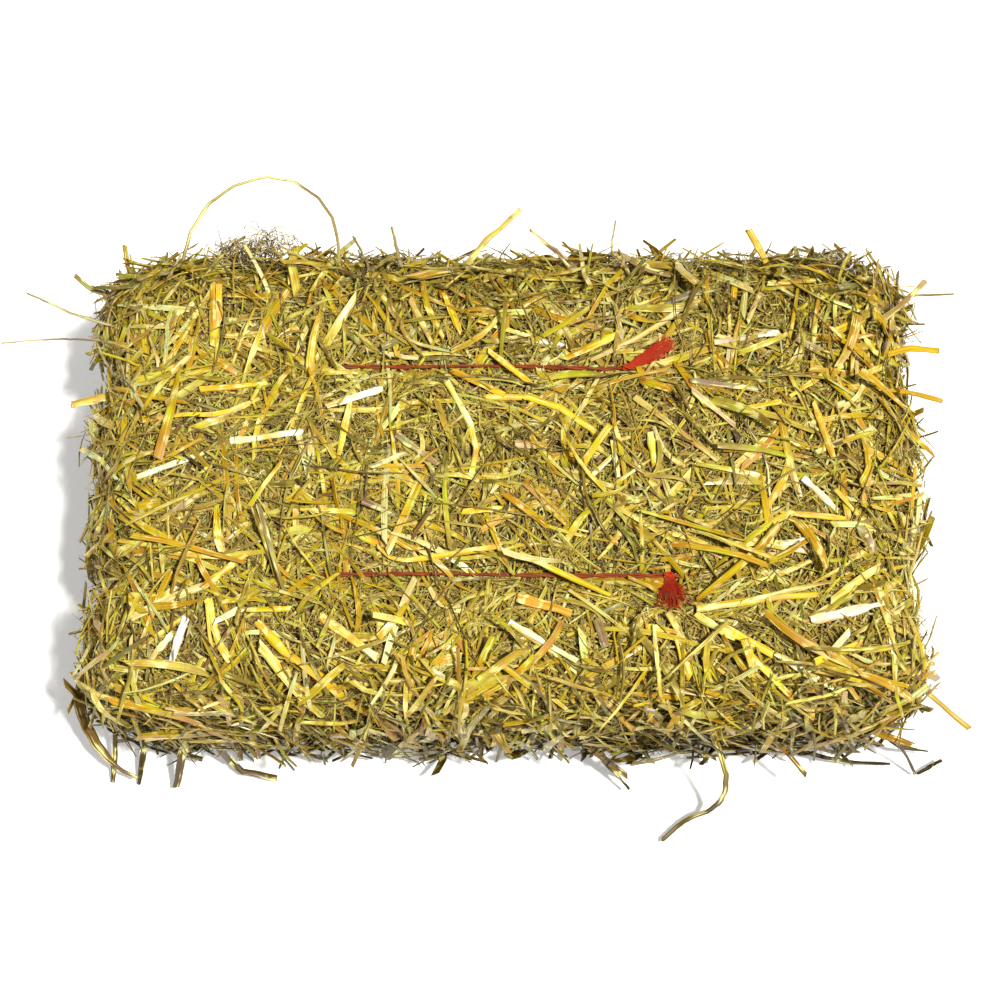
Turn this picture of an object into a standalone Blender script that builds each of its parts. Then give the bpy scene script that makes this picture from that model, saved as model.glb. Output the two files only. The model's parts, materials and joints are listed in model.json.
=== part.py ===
"""A small tied straw bale, lying on its broad face.

Frame: metres, +Z up, +X along the length of the bale and along both twines, the origin in the middle
of the flat underside. The bale is one pressed block of straw with short straws grown into its faces,
two loops of twine that run lengthwise round it in grooves, each with a knot and a frayed tail, and the
separate stalks that lie on the block or stick out of it.
"""

import math
import random

import bmesh
import bpy
from mathutils import Matrix, Vector, noise
from mathutils.bvhtree import BVHTree

# Driving dimensions
LENGTH = 0.500
DEPTH = 0.288
HEIGHT = 0.157
END_ROUND = 0.036
SIDE_ROUND = 0.034
TOP_ROUND = 0.040
FOOT_ROUND = 0.020
TWINE_Y = 0.068
TWINE_RADIUS = 0.0012
GAP = 0.0003
MILLIMETRE = 0.001

# Form of the pressed block
LUMP_HEIGHT = 0.0065
LUMP_PER_METRE = 15.0
FINE_LUMP_HEIGHT = 0.0030
FINE_LUMP_PER_METRE = 42.0
LUMP_FREE_FOOT = 0.035
GROOVE_DEPTH_TOP = 0.0060
GROOVE_DEPTH_END = 0.0120
GROOVE_DEPTH_FOOT = 0.0048
GROOVE_HALF_WIDTH = 0.0095
END_PINCH_WIDTH = 0.024
END_BULGE = 0.008
SLUMP = 0.014
GROOVE_REACH = 0.7 * GROOVE_HALF_WIDTH
GRID_X = 19
GRID_Z = 5
GRID_Y = (
    0.012,
    0.036,
    TWINE_Y - GROOVE_HALF_WIDTH,
    TWINE_Y,
    TWINE_Y + GROOVE_HALF_WIDTH,
    0.100,
    0.122,
)

# Straws grown into the block's faces
FUSED_COUNT = {"top": 22, "front": 17, "back": 13, "left": 8, "right": 8}
FUSED_LENGTH = (0.030, 0.062)
FUSED_WIDTH = (0.0040, 0.0062)
FUSED_THICKNESS = 0.0024
FUSED_RISE_DEGREES = (9, 24)
FUSED_ROOT_SHARE = 0.38
FUSED_TIP = 0.7
FUSED_SPACING = 0.0105
FUSED_ABOVE_FLOOR = 0.008
FUSED_BESIDE_TWINE = 0.008
FUSED_FACE_SHARE = 0.46
FUSED_HEIGHT_SHARE = (0.16, 0.86)
STRAW_SIDES = 6
SAMPLES = 9
STRAW_SEED = 12

# Twine
LOOP_POINTS_LONG = 13
LOOP_POINTS_SHORT = 5
TWINE_BEDDING = 0.8
KNOT_RADIUS = 0.0029
TAIL_THICKNESS = 0.0030
TAIL_NARROWING = 0.65
TAIL_CLEARANCE = 0.006

# Colours, linear
STRAW = (0.52, 0.40, 0.12)
GOLD = (0.66, 0.41, 0.05)
CREAM = (0.80, 0.70, 0.42)
OLIVE = (0.34, 0.30, 0.09)
BROWN = (0.27, 0.17, 0.05)
TWINE_RED = (0.35, 0.03, 0.02)

# Stalks that lie on the top face, at the block's own height, in millimetres: name, plan points, width, colour.
LAID = [
    ("angled_stalk", [(-37, 56), (-17, 18), (-22, -8)], 5, GOLD),
    ("kinked_stalk", [(-13, 45), (24, 45), (60, 19)], 5, GOLD),
    ("olive_stalk", [(-67, 20), (-43, 1)], 5.5, OLIVE),
    ("long_stalk", [(80, 45), (104, 26), (131, 3)], 4.5, STRAW),
    ("brown_stalk", [(115, 55), (157, 49)], 4.5, BROWN),
    ("upright_stalk", [(89, 22), (92, 0)], 5.5, GOLD),
    ("right_stalk", [(190, 8), (228, 26)], 4.5, STRAW),
    ("white_stalk", [(183, -8), (203, -29)], 5, CREAM),
    ("level_stalk", [(115, -91), (150, -85), (188, -82)], 5.5, GOLD),
    ("pale_leaf", [(184, -98), (226, -88)], 8.5, CREAM),
    ("shoulder_stalk", [(132, -103), (160, -119)], 6, GOLD),
    ("slanted_stalk", [(2, -100), (43, -124)], 4.5, CREAM),
    ("orange_stalk", [(6, -84), (38, -94)], 7, GOLD),
    ("crossing_stalk", [(8, -56), (64, -83)], 4.5, GOLD),
    ("green_stalk", [(55, -98), (60, -116)], 6.5, OLIVE),
    ("gold_ribbon", [(-150, -100), (-128, -124)], 8.5, GOLD),
    ("front_stalk", [(-112, -96), (-78, -122)], 7, CREAM),
    ("bent_corner_stalk", [(-181, -84), (-175, -108), (-166, -124)], 5.5, GOLD),
    ("corner_stalk", [(-194, -96), (-202, -122)], 6, GOLD),
    ("back_left_stalk", [(-190, 50), (-149, 54)], 5, GOLD),
    ("left_stalk", [(-190, 26), (-160, 40)], 4.5, STRAW),
    ("cream_stalk", [(-170, 16), (-126, 22)], 5, CREAM),
    ("back_stalk", [(-181, 121), (-180, 100), (-183, 84)], 5, GOLD),
    ("low_left_stalk", [(-228, -6), (-187, 8)], 4.5, CREAM),
]

# Stalks that stick out, in millimetres: name, points from the root in the block to the tip, width, colour.
SPRUNG = [
    (
        "arching_stalk",
        [
            (-203, 110, 138),
            (-206, 148, 156),
            (-182, 184, 164),
            (-142, 194, 168),
            (-112, 172, 164),
            (-105, 140, 156),
            (-110, 110, 138),
        ],
        3.6,
        OLIVE,
    ),
    ("left_long_stalk", [(-222, 84, 134), (-268, 90, 148), (-318, 86, 146)], 3, BROWN),
    ("left_fork_stalk", [(-222, 98, 128), (-268, 104, 142), (-304, 120, 146)], 3.6, OLIVE),
    ("left_stub", [(-224, 62, 122), (-250, 56, 132), (-274, 48, 136)], 7.2, STRAW),
    ("left_green_stalk", [(-226, 122, 122), (-262, 124, 136), (-274, 132, 146)], 4, OLIVE),
    ("corner_leaf", [(-228, 118, 100), (-244, 146, 118), (-246, 160, 130)], 4.6, STRAW),
    ("back_broad_stalk", [(-36, 120, 140), (-19, 146, 154), (10, 172, 160)], 5, OLIVE),
    ("back_leaf", [(60, 116, 136), (41, 140, 152), (16, 158, 158)], 6, BROWN),
    ("back_dark_stalk", [(78, 118, 136), (66, 146, 152), (70, 164, 160)], 3.6, BROWN),
    ("back_nib", [(-60, 116, 136), (-68, 142, 150), (-72, 160, 158)], 3.6, OLIVE),
    ("back_right_nib", [(178, 114, 136), (166, 140, 150), (154, 158, 160)], 6, GOLD),
    ("right_raised_stalk", [(216, 92, 130), (242, 102, 150), (264, 122, 160)], 4.6, STRAW),
    ("right_long_stalk", [(218, 116, 118), (254, 124, 132), (286, 122, 140)], 3.6, OLIVE),
    ("right_gold_stalk", [(216, 74, 126), (250, 84, 144), (272, 80, 148)], 5.2, GOLD),
    ("right_orange_stalk", [(214, 54, 128), (244, 56, 146), (272, 46, 150)], 4.6, GOLD),
    ("right_leaf", [(222, 30, 124), (252, 16, 136), (262, -12, 130)], 5.6, CREAM),
    ("front_right_stalk", [(220, -90, 100), (252, -116, 92), (290, -148, 84)], 4.6, GOLD),
    (
        "trailing_stalk",
        [
            (118, -124, 88),
            (132, -154, 80),
            (142, -176, 50),
            (136, -186, 20),
            (116, -192, 8),
            (102, -204, 6),
        ],
        5.2,
        STRAW,
    ),
    (
        "corner_ribbon",
        [
            (-226, -86, 62),
            (-262, -96, 60),
            (-276, -118, 48),
            (-268, -142, 34),
            (-252, -160, 22),
            (-238, -166, 16),
        ],
        9.5,
        GOLD,
    ),
    ("foot_stalk", [(-192, -112, 74), (-206, -150, 44), (-214, -170, 10)], 6.2, STRAW),
    ("floor_stalk", [(-196, -120, 16), (-180, -158, 12), (-150, -164, 8)], 5.2, STRAW),
    ("front_leaf", [(44, -126, 34), (62, -154, 26), (80, -172, 14)], 6, BROWN),
    ("right_foot_leaf", [(224, -118, 30), (252, -146, 24), (276, -148, 16)], 4.6, OLIVE),
]

STALK_THICKNESS = 0.0022
STALK_LIFT = 0.0007
STALK_TIP = 0.75
CLEARANCE = 0.0005

# Knots and tails: side of the bale, place of the knot, way of the tail in plan, its length and width.
TWINES = {
    "twine_front": (-1, 0.099, (0.10, -1.0), 0.022, 0.016),
    "twine_back": (1, 0.075, (1.0, 0.45), 0.030, 0.010),
}


def clear_scene():
    """Remove whatever the open file holds."""
    for item in list(bpy.data.objects):
        bpy.data.objects.remove(item, do_unlink=True)
    for item in list(bpy.data.collections):
        bpy.data.collections.remove(item)


def new_collection(name):
    """A collection directly in the scene."""
    collection = bpy.data.collections.new(name)
    bpy.context.scene.collection.children.link(collection)
    return collection


def new_material(name, colour, roughness=0.6):
    """A Principled material without metal."""
    material = bpy.data.materials.new(name)
    material.use_nodes = True
    shader = material.node_tree.nodes["Principled BSDF"]
    shader.inputs["Base Color"].default_value = (*colour, 1.0)
    shader.inputs["Roughness"].default_value = roughness
    shader.inputs["Metallic"].default_value = 0.0
    material.diffuse_color = (*colour, 1.0)
    return material


def new_object(name, mesh, collection):
    """An object that holds the mesh, linked to the collection."""
    item = bpy.data.objects.new(name, mesh)
    collection.objects.link(item)
    return item


def mesh_from(name, form):
    """The bmesh as a mesh of this name, its faces pointing out."""
    bmesh.ops.recalc_face_normals(form, faces=form.faces)
    mesh = bpy.data.meshes.new(name)
    form.to_mesh(mesh)
    form.free()
    return mesh


def rounded(value, low, high, low_round, high_round):
    """Where a box coordinate lies: the nearest place inside the rounding, and how far past it, 0 to 1."""
    inside = min(max(value, low + low_round), high - high_round)
    past = (value - inside) / (low_round if value < inside else high_round)
    return inside, past


def near_twine(y, width):
    """1 on a twine's line, falling to 0 beside it."""
    return math.exp(-(((abs(y) - TWINE_Y) / width) ** 2))


def pressed(point):
    """A point of the plain box moved to the surface of the rounded, lumpy, tied bale."""
    x, past_x = rounded(point.x, -LENGTH / 2, LENGTH / 2, END_ROUND, END_ROUND)
    y, past_y = rounded(point.y, -DEPTH / 2, DEPTH / 2, SIDE_ROUND, SIDE_ROUND)
    z, past_z = rounded(point.z, 0.0, HEIGHT, FOOT_ROUND, TOP_ROUND)
    out = Vector((past_x, past_y, past_z)).normalized()
    round_z = FOOT_ROUND if past_z < 0 else TOP_ROUND
    place = Vector((x + out.x * END_ROUND, y + out.y * SIDE_ROUND, z + out.z * round_z))

    height = place.z / HEIGHT
    free = min(max(place.z / LUMP_FREE_FOOT, 0.0), 1.0)
    pinch = near_twine(place.y, END_PINCH_WIDTH)
    lumps = LUMP_HEIGHT * noise.noise(place * LUMP_PER_METRE)
    lumps += FINE_LUMP_HEIGHT * noise.noise(place * FINE_LUMP_PER_METRE) * (1 - pinch)
    place += out * lumps * free

    belly = math.sin(math.pi * min(max(height, 0.0), 1.0))
    place.x += out.x * belly * (END_BULGE - GROOVE_DEPTH_END * pinch)
    if out.x < 0 and place.y < 0:
        place.x -= SLUMP * (1 - height) * -out.x * min(-place.y / TWINE_Y, 1.0)

    groove = near_twine(place.y, GROOVE_REACH)
    if out.z > 0:
        place.z -= GROOVE_DEPTH_TOP * groove * out.z
    elif out.z < 0:
        place.z += GROOVE_DEPTH_FOOT * groove * -out.z
    return place


def block_mesh():
    """The pressed block: a cube cut into a grid whose lines follow the twines, then pressed into shape."""
    form = bmesh.new()
    bmesh.ops.create_cube(form, size=1.0)
    bmesh.ops.scale(form, vec=(LENGTH, DEPTH, HEIGHT), verts=form.verts)
    bmesh.ops.translate(form, vec=(0, 0, HEIGHT / 2), verts=form.verts)
    along, across, up = Matrix.Identity(3)
    cuts = [(along, LENGTH * (i / (GRID_X + 1) - 0.5)) for i in range(1, GRID_X + 1)]
    cuts += [(across, side * y) for y in GRID_Y for side in (-1, 1)]
    cuts += [(up, HEIGHT * i / (GRID_Z + 1)) for i in range(1, GRID_Z + 1)]
    for way, far in cuts:
        everything = form.verts[:] + form.edges[:] + form.faces[:]
        bmesh.ops.bisect_plane(form, geom=everything, plane_co=way * far, plane_no=way, dist=1e-6)
    for vertex in form.verts:
        vertex.co = pressed(vertex.co)
    return mesh_from("straw_block", form)


def profile_curve(width, thickness, collection):
    """A flattened ring that a stalk's or twine's curve is swept with."""
    data = bpy.data.curves.new("section", "CURVE")
    data.dimensions = "2D"
    data.fill_mode = "NONE"
    ring = data.splines.new("POLY")
    ring.points.add(STRAW_SIDES - 1)
    for i, point in enumerate(ring.points):
        turn = math.tau * (i + 0.5) / STRAW_SIDES
        point.co = (width / 2 * math.cos(turn), thickness / 2 * math.sin(turn), 0.0, 1.0)
    ring.use_cyclic_u = True
    return new_object("section", data, collection)


def swept_mesh(name, points, width, thickness, collection, tip=1.0, closed=False, flat=True):
    """A tube of flattened section along the points, as a closed mesh."""
    section = profile_curve(width, thickness, collection)
    data = bpy.data.curves.new(name, "CURVE")
    data.dimensions = "3D"
    data.twist_mode = "Z_UP" if flat else "MINIMUM"
    data.bevel_mode = "OBJECT"
    data.bevel_object = section
    data.use_fill_caps = not closed
    data.resolution_u = 2
    path = data.splines.new("POLY" if closed or len(points) < 3 else "NURBS")
    path.points.add(len(points) - 1)
    for i, (point, place) in enumerate(zip(path.points, points)):
        point.co = (*place, 1.0)
        point.radius = 1.0 if closed or 0 < i < len(points) - 1 else tip
    if path.type == "NURBS":
        path.order_u = 3
        path.use_endpoint_u = True
    path.use_cyclic_u = closed
    curve = new_object(name, data, collection)
    graph = bpy.context.evaluated_depsgraph_get()
    mesh = bpy.data.meshes.new_from_object(curve.evaluated_get(graph))
    form = bmesh.new()
    form.from_mesh(mesh)
    bmesh.ops.remove_doubles(form, verts=form.verts, dist=0.00001)
    bpy.data.meshes.remove(mesh)
    bpy.data.objects.remove(curve, do_unlink=True)
    bpy.data.objects.remove(section, do_unlink=True)
    return mesh_from(name, form)


def extended(points, more):
    """The same path, longer at both ends."""
    first = (points[0] - points[1]).normalized() * more
    last = (points[-1] - points[-2]).normalized() * more
    return [points[0] + first, *points[1:-1], points[-1] + last]


def stalk_meshes(name, points, width, collection, flat):
    """A stalk and the larger copy of it that cuts its bed in the block."""
    size = (width, STALK_THICKNESS)
    bed = (width + 2 * CLEARANCE, STALK_THICKNESS + 2 * CLEARANCE)
    stalk = swept_mesh(name, points, *size, collection, STALK_TIP, flat=flat)
    longer = extended(points, CLEARANCE)
    return stalk, swept_mesh(name + "_bed", longer, *bed, collection, STALK_TIP, flat=flat)


def on_top(tree, x, y, lift):
    """The point this far above the block's top face."""
    hit = tree.ray_cast(Vector((x, y, 2 * HEIGHT)), Vector((0, 0, -1)))[0]
    return hit + Vector((0, 0, lift))


def loop_points(side):
    """The closed path of a twine round the block, on the line of its groove."""
    y = side * TWINE_Y
    across = [(-0.5 + i / LOOP_POINTS_LONG) * LENGTH for i in range(LOOP_POINTS_LONG + 1)]
    up = [HEIGHT * i / LOOP_POINTS_SHORT for i in range(1, LOOP_POINTS_SHORT)]
    ring = [Vector((x, y, HEIGHT)) for x in across]
    ring += [Vector((LENGTH / 2, y, z)) for z in reversed(up)]
    ring += [Vector((x, y, 0.0)) for x in reversed(across)]
    ring += [Vector((-LENGTH / 2, y, z)) for z in up]
    surface = [pressed(place) for place in ring]
    path = []
    for before, place, after in zip(surface[-1:] + surface[:-1], surface, surface[1:] + surface[:1]):
        along = (after - before).normalized()
        outward = Vector((0, 1, 0)).cross(along)
        path.append(Vector((place.x, y, place.z)) + outward * (TWINE_RADIUS + GAP) * TWINE_BEDDING)
    return path


def tail_points(tree, knot, way, length):
    """A frayed tail's path from its knot along the top face."""
    heading = Vector((*way, 0.0)).normalized()
    halfway = knot + heading * length / 2
    end = knot + heading * length
    return [knot, *(on_top(tree, p.x, p.y, TWINE_RADIUS) for p in (halfway, end))]


def knot_form(place, grown):
    """The knot as a small ball."""
    form = bmesh.new()
    bmesh.ops.create_uvsphere(form, u_segments=8, v_segments=5, radius=KNOT_RADIUS + grown)
    bmesh.ops.translate(form, vec=place, verts=form.verts)
    return form


def tail_mesh(name, points, width, grown, collection):
    """A frayed tail: narrow at the knot and wide at its end."""
    path = extended(points, grown)
    mesh = swept_mesh(name, path, width + 2 * grown, TAIL_THICKNESS + 2 * grown, collection)
    form = bmesh.new()
    form.from_mesh(mesh)
    bpy.data.meshes.remove(mesh)
    reach = (path[-1] - path[0]).length
    heading = (path[-1] - path[0]).normalized()
    beside = Vector((0, 0, 1)).cross(heading).normalized()
    for vertex in form.verts:
        along = (vertex.co - path[0]).dot(heading) / reach
        off = (vertex.co - path[0]).dot(beside)
        vertex.co -= beside * off * (1 - max(along, 0.0)) * TAIL_NARROWING
    return mesh_from(name, form)


def twine_pieces(side, knot_x, way, tail_length, tail_width, tree, grown, collection):
    """The loop, knot and tail of one twine as three meshes that overlap, all grown by the same amount."""
    thick = 2 * (TWINE_RADIUS + grown)
    loop = swept_mesh("loop", loop_points(side), thick, thick, collection, closed=True, flat=False)
    knot = on_top(tree, knot_x, side * TWINE_Y, TWINE_RADIUS + GAP)
    tail = tail_points(tree, knot, way, tail_length)
    return [
        loop,
        mesh_from("knot", knot_form(knot, grown)),
        tail_mesh("tail", tail, tail_width, grown, collection),
    ]


def joined(name, meshes, collection):
    """One object that holds all the meshes, still as separate bodies."""
    form = bmesh.new()
    for mesh in meshes:
        form.from_mesh(mesh)
    result = bpy.data.meshes.new(name)
    form.to_mesh(result)
    form.free()
    return new_object(name, result, collection)


def add_boolean(item, other, operation):
    """A Boolean modifier, exact and safe for cutters made of many bodies."""
    modifier = item.modifiers.new(operation.lower(), "BOOLEAN")
    modifier.operation = operation
    modifier.solver = "EXACT"
    modifier.use_self = True
    modifier.object = other
    return modifier


def as_helper(item):
    """Keep a cutter out of the render and show it as lines."""
    item.hide_render = True
    item.display_type = "WIRE"
    return item


def face_ray(face, rng):
    """A ray that meets the named face of the block from outside, and the face's direction."""
    x = rng.uniform(-FUSED_FACE_SHARE, FUSED_FACE_SHARE) * LENGTH
    y = rng.uniform(-FUSED_FACE_SHARE, FUSED_FACE_SHARE) * DEPTH
    z = rng.uniform(*FUSED_HEIGHT_SHARE) * HEIGHT
    return {
        "top": (Vector((x, y, 1.0)), Vector((0, 0, -1))),
        "front": (Vector((x, -1.0, z)), Vector((0, 1, 0))),
        "back": (Vector((x, 1.0, z)), Vector((0, -1, 0))),
        "left": (Vector((-1.0, y, z)), Vector((1, 0, 0))),
        "right": (Vector((1.0, y, z)), Vector((-1, 0, 0))),
    }[face]


def fused_straw(place, normal, rng):
    """A straight straw through the surface: its two ends, its flat side's direction and its width."""
    along = normal.orthogonal().normalized()
    along.rotate(Matrix.Rotation(rng.uniform(0, math.tau), 3, normal))
    rise = math.radians(rng.uniform(*FUSED_RISE_DEGREES))
    heading = along * math.cos(rise) + normal * math.sin(rise)
    length = rng.uniform(*FUSED_LENGTH)
    root = place - heading * length * FUSED_ROOT_SHARE
    return root, root + heading * length, normal, rng.uniform(*FUSED_WIDTH)


def samples(start, end):
    """Evenly spaced points along a straight line, with both ends."""
    return [start.lerp(end, i / (SAMPLES - 1)) for i in range(SAMPLES)]


def straw_mesh(start, end, normal, width):
    """A straight flattened straw between two points."""
    heading = (end - start).normalized()
    beside = normal.cross(heading).normalized()
    up = heading.cross(beside)
    turn = Matrix((beside, up, heading)).transposed().to_4x4()
    size = Matrix.Diagonal((width / 2, FUSED_THICKNESS / 2, (end - start).length, 1.0))
    form = bmesh.new()
    bmesh.ops.create_cone(
        form,
        cap_ends=True,
        segments=STRAW_SIDES,
        radius1=1.0,
        radius2=FUSED_TIP,
        depth=1.0,
        matrix=Matrix.Translation((start + end) / 2) @ turn @ size,
    )
    return mesh_from("straw", form)


def is_free(line, taken):
    """Whether a straw along these points is clear of the floor, the twines and all that is taken."""
    if min(p.z for p in line) < FUSED_ABOVE_FLOOR:
        return False
    if min(abs(abs(p.y) - TWINE_Y) for p in line) < FUSED_BESIDE_TWINE:
        return False
    return all((p - q).length > FUSED_SPACING for p in line for q in taken)


def fused_straws(tree, taken):
    """Short straws on every face but the underside."""
    rng = random.Random(STRAW_SEED)
    meshes = []
    for face, wanted in FUSED_COUNT.items():
        made = 0
        while made < wanted:
            origin, toward = face_ray(face, rng)
            place, normal, _, _ = tree.ray_cast(origin, toward)
            straw = fused_straw(place, normal, rng)
            line = samples(straw[0], straw[1])
            if is_free(line, taken):
                taken.extend(line)
                meshes.append(straw_mesh(*straw))
                made += 1
    return meshes


def build():
    """Make every piece of the bale."""
    clear_scene()
    parts = new_collection("straw_bale")
    cutters = new_collection("cutters")
    materials = {
        STRAW: new_material("straw", STRAW),
        GOLD: new_material("golden_straw", GOLD, 0.4),
        CREAM: new_material("cream_straw", CREAM, 0.45),
        OLIVE: new_material("olive_straw", OLIVE, 0.55),
        BROWN: new_material("brown_straw", BROWN, 0.6),
        TWINE_RED: new_material("red_twine", TWINE_RED, 0.8),
    }

    block = new_object("straw_block", block_mesh(), parts)
    block.data.materials.append(materials[STRAW])
    tree = BVHTree.FromObject(block, bpy.context.evaluated_depsgraph_get())

    beds = []
    taken = []
    for name, route, width, colour in LAID + SPRUNG:
        lies = len(route[0]) == 2
        points = [Vector(place) * MILLIMETRE for place in route]
        if lies:
            points = [on_top(tree, *place, STALK_LIFT) for place in points]
        stalk, bed = stalk_meshes(name, points, width * MILLIMETRE, cutters, lies)
        stalk.materials.append(materials[colour])
        new_object(name, stalk, parts)
        beds.append(bed)
        taken.extend(p for a, b in zip(points, points[1:]) for p in samples(a, b))

    for name, (side, knot_x, way, tail_length, tail_width) in TWINES.items():
        sizes = (side, knot_x, way, tail_length, tail_width, tree)
        loop, knot, tail = twine_pieces(*sizes, 0.0, cutters)
        loop.materials.append(materials[TWINE_RED])
        twine = new_object(name, loop, parts)
        add_boolean(twine, as_helper(joined(name + "_knot_and_tail", [knot, tail], cutters)), "UNION")
        beds.extend(twine_pieces(*sizes, CLEARANCE, cutters))
        top = on_top(tree, knot_x, side * TWINE_Y, 0.0)
        reach = Vector((*way, 0.0)).normalized() * (tail_length + TAIL_CLEARANCE)
        taken.extend(samples(top, top + reach))

    straws = as_helper(joined("fused_straws", fused_straws(tree, taken), cutters))
    straws.data.materials.append(materials[STRAW])
    bed_cutter = as_helper(joined("stalk_and_twine_beds", beds, cutters))
    add_boolean(block, bed_cutter, "DIFFERENCE")
    add_boolean(block, straws, "UNION")


build()
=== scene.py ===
"""Dresses the small tied straw bale.

A bed of matted straw fills the pressed block. Bits, fibres, stems, flattened blades and long wisps are
scattered over it in layers, and short straws stick out where the solid has them. Laid stalks and tufts
of root fibre lie on the top, two red twines with knots and frayed tails lie in their grooves, and every
loose stalk is a hollow or split stem of its own.
All sizes are in metres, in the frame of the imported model.
"""

import json
import logging
import math
from dataclasses import dataclass
from enum import Enum
from functools import lru_cache

import bmesh
import bpy
import numpy as np
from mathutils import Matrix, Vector, noise
from mathutils.bvhtree import BVHTree

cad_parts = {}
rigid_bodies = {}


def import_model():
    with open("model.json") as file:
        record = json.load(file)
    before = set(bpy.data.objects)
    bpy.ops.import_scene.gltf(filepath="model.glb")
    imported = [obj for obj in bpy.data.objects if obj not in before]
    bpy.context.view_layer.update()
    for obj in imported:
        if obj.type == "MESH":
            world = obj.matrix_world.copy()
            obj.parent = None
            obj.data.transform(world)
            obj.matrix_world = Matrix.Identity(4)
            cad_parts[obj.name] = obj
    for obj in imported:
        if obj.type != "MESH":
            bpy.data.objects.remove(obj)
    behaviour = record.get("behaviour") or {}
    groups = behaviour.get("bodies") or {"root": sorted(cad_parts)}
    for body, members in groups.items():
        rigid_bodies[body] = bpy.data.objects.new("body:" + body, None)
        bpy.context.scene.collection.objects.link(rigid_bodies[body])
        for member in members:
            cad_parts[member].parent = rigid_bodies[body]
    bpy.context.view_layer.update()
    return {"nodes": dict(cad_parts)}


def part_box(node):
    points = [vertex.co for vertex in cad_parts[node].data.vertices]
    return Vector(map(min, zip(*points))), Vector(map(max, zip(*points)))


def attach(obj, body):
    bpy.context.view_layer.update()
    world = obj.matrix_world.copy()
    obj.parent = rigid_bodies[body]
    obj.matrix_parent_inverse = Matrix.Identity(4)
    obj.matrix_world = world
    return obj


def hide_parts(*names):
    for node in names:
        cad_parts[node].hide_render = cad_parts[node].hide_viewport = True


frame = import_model()
MM = 0.001
BODY = "root"
STRAW_MAP = "Straw"
BAKE_MAP = "OFBake"
UP = np.array((0.0, 0.0, 1.0))
LOG = logging.getLogger("straw_bale")


class Shade(Enum):
    """The colours of the straw and the twine, as display values from 0 to 255."""

    WHITE = (250, 244, 206)
    PALE = (250, 240, 156)
    CREAM = (242, 230, 136)
    LEMON = (227, 206, 42)
    STRAW = (203, 179, 72)
    GOLD = (228, 187, 14)
    ORANGE = (206, 152, 20)
    TAN = (184, 156, 84)
    OLIVE = (150, 132, 46)
    GREEN = (124, 118, 44)
    BROWN = (126, 98, 52)
    UMBER = (80, 60, 34)
    DARK = (32, 24, 14)
    TWINE = (158, 76, 40)
    TWINE_LIGHT = (196, 34, 18)
    TWINE_DARK = (112, 48, 32)
    FLOOR = (246, 246, 244)

    def linear(self) -> tuple[float, float, float, float]:
        """The colour as scene-linear red, green, blue and an alpha of one."""
        return (*(((c / 255 + 0.055) / 1.055) ** 2.4 for c in self.value), 1.0)


class Expression:
    """A node's output that can be used in sums."""

    def __init__(self, board: "NodeBoard", socket: bpy.types.NodeSocket) -> None:
        """Wraps a socket.

        Args:
            board: The tree that the socket is in.
            socket: The output to wrap.
        """
        self.board = board
        self.socket = socket

    def _with(self, operation: str, first: object, second: object) -> "Expression":
        """The Math node of this operation on two values or sockets."""
        return self.board.value("ShaderNodeMath", {"operation": operation}, {0: first, 1: second})

    def __add__(self, other: object) -> "Expression":
        """The sum."""
        return self._with("ADD", self, other)

    def __sub__(self, other: object) -> "Expression":
        """The difference."""
        return self._with("SUBTRACT", self, other)

    def __rsub__(self, other: object) -> "Expression":
        """The difference from a plain number."""
        return self._with("SUBTRACT", other, self)

    def __mul__(self, other: object) -> "Expression":
        """The product."""
        return self._with("MULTIPLY", self, other)

    def __pow__(self, other: object) -> "Expression":
        """The power."""
        return self._with("POWER", self, other)

    __radd__ = __add__
    __rmul__ = __mul__

    def rising(self, low: float, high: float) -> "Expression":
        """Goes smoothly from 0 to 1 between two values of this one.

        Args:
            low: Where it starts to rise.
            high: Where it reaches 1.

        Returns:
            The new value.
        """
        settings = {"interpolation_type": "SMOOTHSTEP"}
        return self.board.value("ShaderNodeMapRange", settings, {"Value": self, "From Min": low, "From Max": high})


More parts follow.
